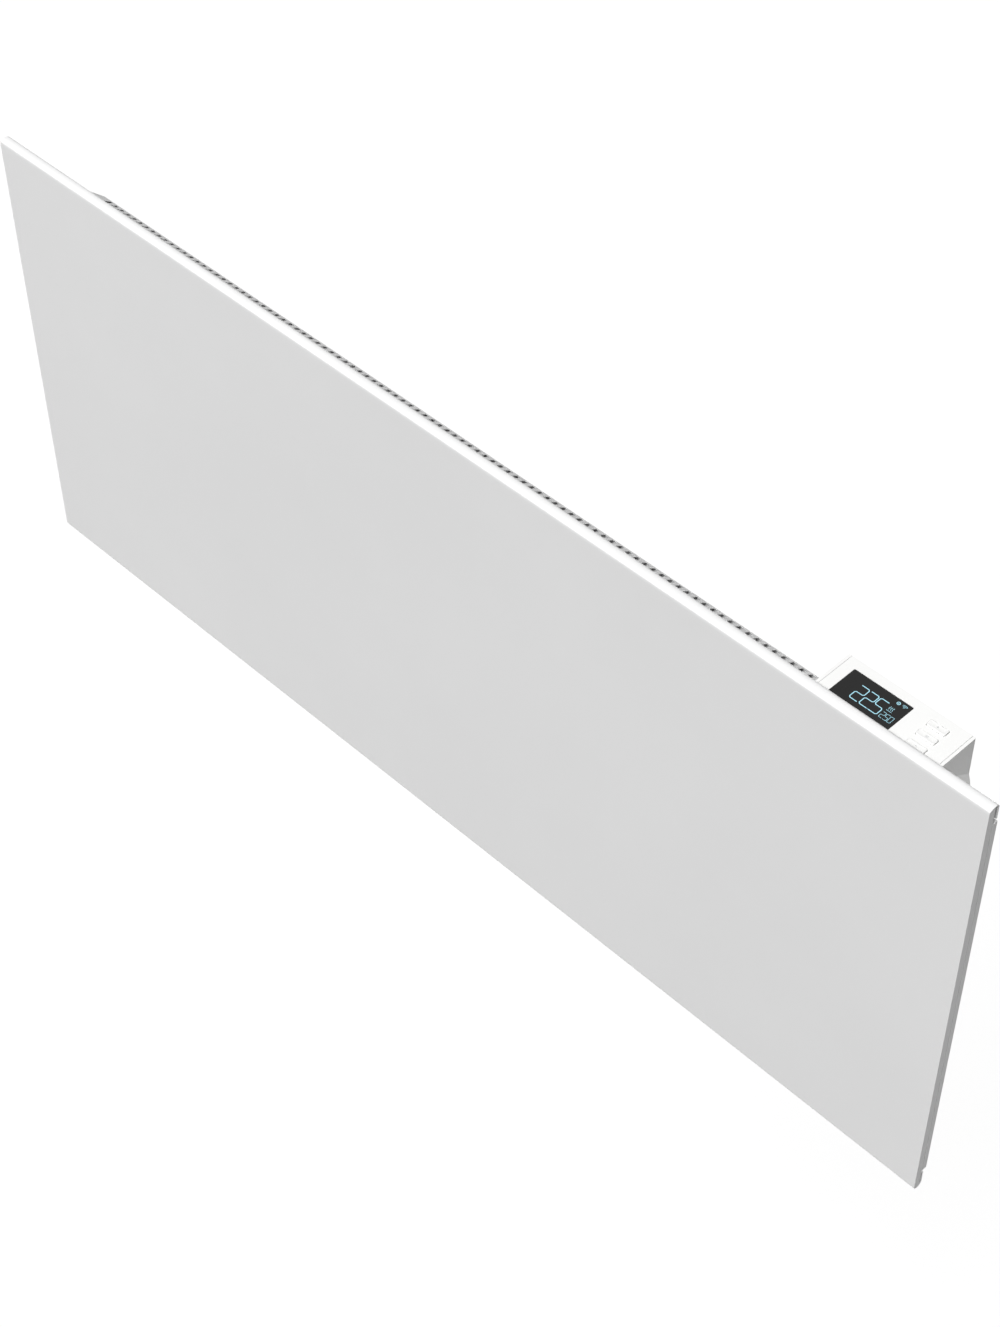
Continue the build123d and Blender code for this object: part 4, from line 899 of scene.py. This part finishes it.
@dataclass
class ControlHead(SubAssembly):
    """Housing at the right with its lid, lit display and three keys."""

    housing_edge_mm: float = 0.3
    lid_edge_mm: float = 0.1
    glass_edge_mm: float = 0.2
    key_dish_mm: float = 0.16
    dish_steps_mm: tuple[float, ...] = (0.35, 0.45, 0.6)
    key_length_mm: float = 12.7
    key_edge_mm: float = 0.4
    key_corner_mm: float = 0.9
    key_smooth_degrees: float = 50.0
    flange_mm: float = 0.8
    sign_stroke_mm: float = 0.28
    sign_reach_mm: float = 0.7
    menu_reach_mm: float = 0.9
    ink_lift_mm: float = 0.02
    overall_depth_mm: float = 55.0
    display: Display = field(default_factory=Display)

    def build(self) -> None:
        """Build the head from the housing up."""
        self.soften("control_housing", WHITE_ABS, self.housing_edge_mm, segments=3)
        self.soften("control_lid", WHITE_ABS, self.lid_edge_mm)
        self.soften("display_glass", WINDOW, self.glass_edge_mm)
        self.build_figures()
        self.build_key("button_plus", Body.PLUS)
        self.build_key("button_menu", Body.MENU)
        self.build_key("button_minus", Body.MINUS)

    def draw(
        self, name: str, lines: Sequence[Line], width: float, height: float, finish: Finish,
        body: Body, slot: str,
    ) -> None:
        """Lay strokes flat on a surface.

        Args:
            name: name of the piece.
            lines: lines in mm along X and behind the front face.
            width: width of the strokes in mm.
            height: height of the surface in metres.
            finish: ink or light.
            body: what the strokes move with.
            slot: record's material slot.
        """
        mesh = stroke_mesh(lines, width, self.ink_lift_mm)
        place = Vector((0, -self.overall_depth_mm * MM, height))
        bmesh.ops.translate(mesh, verts=mesh.verts, vec=place)
        new_piece(name, mesh, finish, body, slot)
        LOG.info("%s: %d strokes", name, len(lines))

    def build_figures(self) -> None:
        """Draw the temperature, the set point and the small signs."""
        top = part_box("display_glass")[1].z
        plan = self.display
        rows = (
            ("display_temperature", plan.temperature(), plan.stroke),
            ("display_set_point", plan.set_point(), plan.small_stroke),
            ("display_link_sign", plan.link_sign(), plan.ring_stroke),
            ("display_signs", plan.signs(), plan.sign_stroke),
        )
        for name, lines, width in rows:
            self.draw(name, lines, width, top, SEGMENT, Body.HEATER, "dark_glass")

    def step_in(
        self, mesh: bmesh.types.BMesh, face: bmesh.types.BMFace, inset: float, drop: float
    ) -> bmesh.types.BMFace:
        """Set a smaller copy of a top face a little lower inside it.

        Args:
            mesh: shape to change.
            face: flat top face.
            inset: distance from its outline to the copy's.
            drop: how far the copy lies below it.

        Returns:
            The copy.
        """
        made = bmesh.ops.extrude_face_region(mesh, geom=[face])["geom"]
        bmesh.ops.delete(mesh, geom=[face], context="FACES_ONLY")
        copy = next(item for item in made if isinstance(item, bmesh.types.BMFace))
        places = [vert.co for vert in copy.verts]
        middle = copy.calc_center_bounds()
        spans = [
            max(place[axis] for place in places) - min(place[axis] for place in places)
            for axis in (0, 1)
        ]
        shrink = Vector([1 - 2 * inset / span for span in spans] + [1])
        bmesh.ops.scale(mesh, verts=copy.verts, vec=shrink, space=Matrix.Translation(-middle))
        bmesh.ops.translate(mesh, verts=copy.verts, vec=Vector((0, 0, -drop)))
        return copy

    def build_key(self, node: str, body: Body) -> None:
        """Model one key with a dished top, rounded corners and its printed sign.

        Args:
            node: CAD node that the key replaces.
            body: key's own body.
        """
        low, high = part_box(node)
        flange_top = low.z + self.flange_mm * MM
        middle = (low + high) / 2
        depth = high.y - low.y
        mesh = bmesh.new()
        add_box(mesh, (self.key_length_mm * MM, depth, high.z - low.z), middle)
        round_edges(mesh, along(mesh, 2), self.key_corner_mm * MM, segments=5)
        rim = [
            edge for edge in mesh.edges
            if all(vert.co.z > high.z - MERGE_MM * MM for vert in edge.verts)
        ]
        round_edges(mesh, rim, self.key_edge_mm * MM, segments=4)
        top = max(mesh.faces, key=lambda face: face.calc_center_median().z)
        drop = self.key_dish_mm / len(self.dish_steps_mm) * MM
        for inset in self.dish_steps_mm:
            top = self.step_in(mesh, top, inset * MM, drop)
        shade_by_angle(mesh, self.key_smooth_degrees)
        under = (middle.x, middle.y, (low.z + flange_top) / 2)
        add_box(mesh, (high.x - low.x, depth, self.flange_mm * MM), under)
        slot = self.slot_of(node)
        piece = new_piece(f"{node}_cap", mesh, KEY_ABS, body, slot)
        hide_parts(node)
        reach, wide = self.sign_reach_mm, self.menu_reach_mm
        signs = {
            Body.PLUS: [[(-reach, 0), (reach, 0)], [(0, -reach), (0, reach)]],
            Body.MENU: [[(-wide, step), (wide, step)] for step in (-reach, 0, reach)],
            Body.MINUS: [[(-reach, 0), (reach, 0)]],
        }
        across, back = middle.x / MM, middle.y / MM + self.overall_depth_mm
        lines = [[(across + x, back + y) for x, y in line] for line in signs[body]]
        top_height = high.z - self.key_dish_mm * MM
        self.draw(f"{node}_sign", lines, self.sign_stroke_mm, top_height, KEY_INK, body, slot)
        LOG.info("%s: dished key", node)


@dataclass
class PowerEntry(SubAssembly):
    """Rocker switch, cable gland and room sensor of the housing."""

    edge_mm: float = 0.35
    # Rocker: its hinge, how far it leans, the rise of its middle, and reach and rise of its tips.
    rocker_pivot_mm: tuple[float, float, float] = (400.0, -29.0, -60.06)
    rocker_tilt: float = 10.0
    rocker_valley_mm: float = 1.8
    rocker_tip_mm: Point = (7.6, 3.1)
    mark_mm: float = 0.45
    mark_lift_mm: float = 0.03
    mark_reach_mm: float = 1.3
    gland_hexagon_mm: float = 9.0
    gland_bore_mm: float = 4.1
    gland_foot_mm: float = -143.0
    gland_steps: int = 36
    gland_smooth_degrees: float = 40.0
    hexagon_height_mm: float = 6.0
    thread_radius_mm: float = 6.0
    thread_height_mm: float = 8.0
    nut_profile_mm: tuple[Point, ...] = (
        (4.9, -9.0), (4.9, -13.7), (5.1, -14.1), (5.6, -14.4), (6.2, -14.3), (6.8, -13.9),
        (7.3, -13.2), (7.5, -12.4), (7.5, -6.7), (7.2, -6.3), (6.6, -6.2), (6.6, -5.9),
        (4.1, -5.9), (4.1, -9.0), (4.9, -9.0),
    )
    # Flutes: height of the faces that they are cut in, how near to it a face must lie, how far
    # outside the bore it must stand, and the depth and edge of each flute.
    flute_height_mm: float = -9.55
    flute_snap_mm: float = 0.1
    nut_wall_mm: float = 1.0
    flute_depth_mm: float = 0.4
    flute_edge_mm: float = 0.12
    seal_profile_mm: tuple[Point, ...] = (
        (4.1, -9.0), (4.1, -13.5), (4.3, -13.9), (4.65, -13.9), (4.85, -13.6), (4.85, -9.0),
        (4.1, -9.0),
    )

    def build(self) -> None:
        """Build the rocker, gland and sensor."""
        self.soften("rocker_frame", BLACK_PA, self.edge_mm)
        self.soften("rocker", ROCKER_PA, self.edge_mm, Body.ROCKER)
        self.build_marks()
        self.build_gland()
        self.soften("gland_nut", GREY_PA, self.edge_mm)
        self.soften("sensor_cap", WHITE_ABS, self.edge_mm / 2)
        self.dress(BLACK_PA, "room_sensor")

    def build_marks(self) -> None:
        """Print the on and off marks on the two wings of the rocker."""
        tilt = math.radians(self.rocker_tilt)
        along_rocker = Vector((math.sin(tilt), 0, math.cos(tilt)))
        outward = Vector((math.cos(tilt), 0, -math.sin(tilt)))
        across = Vector((0, 1, 0))
        reach, tip = self.rocker_tip_mm
        valley = self.rocker_valley_mm
        line = [(0, -self.mark_reach_mm), (0, self.mark_reach_mm)]
        ring = arc((0, 0), self.mark_reach_mm, range(0, 361, 15))
        for name, side, lines in (("on", -1, [line]), ("off", 1, [ring])):
            middle = along_rocker * (side * reach / 2) + outward * ((tip + valley) / 2)
            slope = along_rocker * (side * reach) + outward * (tip - valley)
            wing = slope.normalized() * side
            mesh = stroke_mesh(lines, self.mark_mm, self.mark_lift_mm)
            face = Matrix((across, wing, across.cross(wing))).transposed().to_4x4()
            origin = (Vector(self.rocker_pivot_mm) + middle) * MM
            bmesh.ops.transform(mesh, verts=mesh.verts, matrix=Matrix.Translation(origin) @ face)
            new_piece(f"rocker_{name}_mark", mesh, MARK_INK, Body.ROCKER, self.slot_of("rocker"))
            LOG.info("rocker %s mark", name)

    def build_gland(self) -> None:
        """Model the gland: hexagon, thread, fluted clamping nut and its seal."""
        low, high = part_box("cable_gland")
        foot = Vector(((low.x + high.x) / 2, (low.y + high.y) / 2, self.gland_foot_mm * MM))
        up = Vector((0, 0, 1))
        mesh = bmesh.new()
        turned = lathe(mesh, self.nut_profile_mm, foot, up, self.gland_steps)
        places = {face: (face.calc_center_median() - foot) / MM for face in turned}
        inner = self.gland_bore_mm + self.nut_wall_mm
        flutes = [
            face for face, place in places.items()
            if abs(place.z - self.flute_height_mm) < self.flute_snap_mm and place.xy.length > inner
        ]
        flutes.sort(key=lambda face: math.atan2(places[face].y, places[face].x))
        bmesh.ops.inset_individual(
            mesh, faces=flutes[::2], thickness=self.flute_edge_mm * MM,
            depth=-self.flute_depth_mm * MM,
        )
        bore, ring, thread = self.gland_bore_mm, self.gland_hexagon_mm, self.thread_radius_mm
        bottom, top = -self.hexagon_height_mm, self.thread_height_mm
        hexagon = [
            (bore, bottom), (ring, bottom), (ring, 0.0), (thread, 0.0), (thread, top), (bore, top),
            (bore, bottom),
        ]
        lathe(mesh, hexagon, foot, up, steps=6)
        shade_by_angle(mesh, self.gland_smooth_degrees)
        slot = self.slot_of("cable_gland")
        piece = new_piece("cable_gland_body", mesh, GREY_PA, Body.HEATER, slot)
        ease = piece.modifiers.new("ease", "BEVEL")
        ease.limit_method = "ANGLE"
        ease.width = self.edge_mm / 3 * MM
        ease.segments = 2
        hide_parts("cable_gland")
        seal = bmesh.new()
        lathe(seal, self.seal_profile_mm, foot, up, self.gland_steps)
        shade_by_angle(seal)
        new_piece("cable_gland_seal", seal, RUBBER, Body.HEATER, "black_rubber")
        LOG.info("cable gland: fluted nut and seal")


@dataclass
class Electronics(SubAssembly):
    """Boards and components inside the housing."""

    def build(self) -> None:
        """Dress boards, components and plugs."""
        self.dress(SOLDER_MASK, "control_board", "power_board")
        self.dress(
            BLACK_PA, "display_module", "display_holder", "tact_switches", "ribbon_plugs", "relay"
        )
        self.dress(ZINC_PLATE, "board_screws", "power_screws", "housing_screws")
        self.dress(LAMINATIONS, "transformer")
        self.dress(ALUMINIUM, "capacitors")
        self.dress(GREY_PA, "terminal_block")
        self.dress(SLEEVES["grey"], "ribbon_cable")


@dataclass
class HeatingUnit(SubAssembly):
    """Finned element, its stands, shields, cut-out and leads."""

    def build(self) -> None:
        """Dress the heating parts."""
        self.dress(ALUMINIUM, "heating_element")
        self.dress(ZINC_PLATE, "element_pins", "thermal_cutout")
        self.dress(STEATITE, "element_collars")
        self.dress(ZINC_SHEET, "element_stands")
        self.dress(BRIGHT_SHEET, "heat_shield", "front_shield")
        self.dress(RUBBER, "lead_grommet")
        self.dress(SLEEVES["brown"], "lead_live")
        self.dress(SLEEVES["blue"], "lead_neutral")
        self.dress(SLEEVES["grey"], "lead_cutout")


@dataclass
class WallMounting(SubAssembly):
    """Bracket on the wall, hangers on the casing and rubber feet."""

    edge_mm: float = 0.4
    rivet_x_mm: tuple[float, ...] = (-200.0, 200.0)
    rivet_z_mm: tuple[float, ...] = (-90.0, -45.0, 45.0, 90.0)
    rivet_steps: int = 28
    rivet_smooth_degrees: float = 40.0
    rivet_profile_mm: tuple[Point, ...] = (
        (0.0, -4.2), (1.5, -4.2), (2.0, -3.95), (2.2, -3.6), (2.1, -3.3), (1.5, -3.2),
        (1.5, -1.0), (2.7, -1.0), (2.65, -0.75), (2.4, -0.4), (1.9, -0.12), (1.4, -0.02),
        (1.1, 0.0), (1.05, -0.1), (0.95, -0.8), (0.0, -0.8),
    )

    def build(self) -> None:
        """Build the bracket, hangers, rivets and feet."""
        self.soften("wall_bracket", ZINC_SHEET, self.edge_mm, Body.BRACKET)
        self.soften("hanger_left", ZINC_SHEET, self.edge_mm)
        self.soften("hanger_right", ZINC_SHEET, self.edge_mm)
        self.build_rivets()
        self.soften("wall_spacers", RUBBER, self.edge_mm, segments=3)

    def build_rivets(self) -> None:
        """Model the blind rivets with their domed heads and hollow middles."""
        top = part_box("hanger_rivets")[1].y
        mesh = bmesh.new()
        for x in self.rivet_x_mm:
            for z in self.rivet_z_mm:
                foot = Vector((x * MM, top, z * MM))
                lathe(mesh, self.rivet_profile_mm, foot, Vector((0, 1, 0)), self.rivet_steps)
        shade_by_angle(mesh, self.rivet_smooth_degrees)
        slot = self.slot_of("hanger_rivets")
        piece = new_piece("hanger_blind_rivets", mesh, ALUMINIUM, Body.HEATER, slot)
        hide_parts("hanger_rivets")
        LOG.info("hanger rivets: %d domed heads", len(self.rivet_x_mm) * len(self.rivet_z_mm))


# ------------------------------------------------------------------ studio
@dataclass
class Studio:
    """Floor, lamps, world and the view of the photograph."""

    camera_place: tuple[float, float, float] = (0.875685, -0.840943, 1.201299)
    azimuth: float = 45.127
    elevation: float = 45.327
    lens_mm: float = 68.243
    shift: Point = (-0.0183, -0.0295)
    clip: Point = (0.01, 50.0)
    sky: float = 0.16
    lamp_angle: float = 24.0
    key_power: float = 3.38
    key_from: tuple[float, float, float] = (0.07, -0.55, 0.84)
    fill_power: float = 1.5
    fill_from: tuple[float, float, float] = (-0.25, 0.82, -0.55)
    floor_height: float = -1.9
    floor_size: float = 20.0

    def build(self) -> None:
        """Set the whole studio."""
        self.build_camera()
        self.build_world()
        self.build_lamp("key", self.key_power, self.key_from)
        self.build_lamp("fill", self.fill_power, self.fill_from)
        self.build_floor()
        bpy.context.scene.view_settings.view_transform = "Standard"

    def build_camera(self) -> None:
        """Stand the camera where the photograph was taken from."""
        turn, rise = math.radians(self.azimuth), math.radians(self.elevation)
        level = math.cos(rise)
        back = Vector((math.sin(turn) * level, -math.cos(turn) * level, math.sin(rise)))
        side = Vector((0, 0, 1)).cross(back).normalized()
        up = back.cross(side)
        data = bpy.data.cameras.new("view")
        data.lens = self.lens_mm
        data.shift_x, data.shift_y = self.shift
        data.clip_start, data.clip_end = self.clip
        camera = bpy.data.objects.new("view", data)
        turned = Matrix((side, up, back)).transposed().to_4x4()
        camera.matrix_world = Matrix.Translation(self.camera_place) @ turned
        bpy.context.scene.collection.objects.link(camera)
        bpy.context.scene.camera = camera

    def build_world(self) -> None:
        """Give even light to the object and plain white to the eye."""
        world = bpy.data.worlds.new("studio")
        bpy.context.scene.world = world
        world.use_nodes = True
        tree = world.node_tree
        tree.nodes.clear()
        white = linear("#FFFFFF")
        light = add_node(tree, "ShaderNodeBackground", {"Color": white, "Strength": self.sky})
        backdrop = add_node(tree, "ShaderNodeBackground", {"Color": white, "Strength": 1.0})
        mixed = add_node(
            tree,
            "ShaderNodeMixShader",
            {"Fac": seen_directly(tree), 1: light.outputs[0], 2: backdrop.outputs[0]},
        )
        add_node(tree, "ShaderNodeOutputWorld", {"Surface": mixed.outputs[0]})

    def build_lamp(self, name: str, power: float, source: Sequence[float]) -> None:
        """Hang one wide soft lamp.

        Args:
            name: name of the lamp.
            power: strength of its light.
            source: direction that the light comes from.
        """
        data = bpy.data.lights.new(name, "SUN")
        data.energy = power
        data.angle = math.radians(self.lamp_angle)
        lamp = bpy.data.objects.new(name, data)
        lamp.rotation_euler = Vector(source).to_track_quat("Z", "Y").to_euler()
        bpy.context.scene.collection.objects.link(lamp)

    def build_floor(self) -> None:
        """Lay the pale floor, which the fill lamp below it shines through."""
        mesh = bmesh.new()
        bmesh.ops.create_grid(mesh, x_segments=1, y_segments=1, size=self.floor_size / 2)
        bmesh.ops.translate(mesh, verts=mesh.verts, vec=Vector((0, 0, self.floor_height)))
        data = bpy.data.meshes.new("floor")
        mesh.to_mesh(data)
        mesh.free()
        data.materials.append(FLOOR_PAINT.material())
        floor = bpy.data.objects.new("floor", data)
        bpy.context.scene.collection.objects.link(floor)
        floor.visible_shadow = False


def main() -> None:
    """Build the studio and every sub-assembly in order."""
    logging.basicConfig(level=logging.INFO, format="%(name)s: %(message)s")
    builders = (
        Studio(), FrontPanel(), ConvectorCasing(), ControlHead(), PowerEntry(), Electronics(),
        HeatingUnit(), WallMounting(),
    )
    for builder in builders:
        builder.build()
        LOG.info("%s done", type(builder).__name__)
    bpy.context.view_layer.update()


if __name__ == "__main__":
    main()
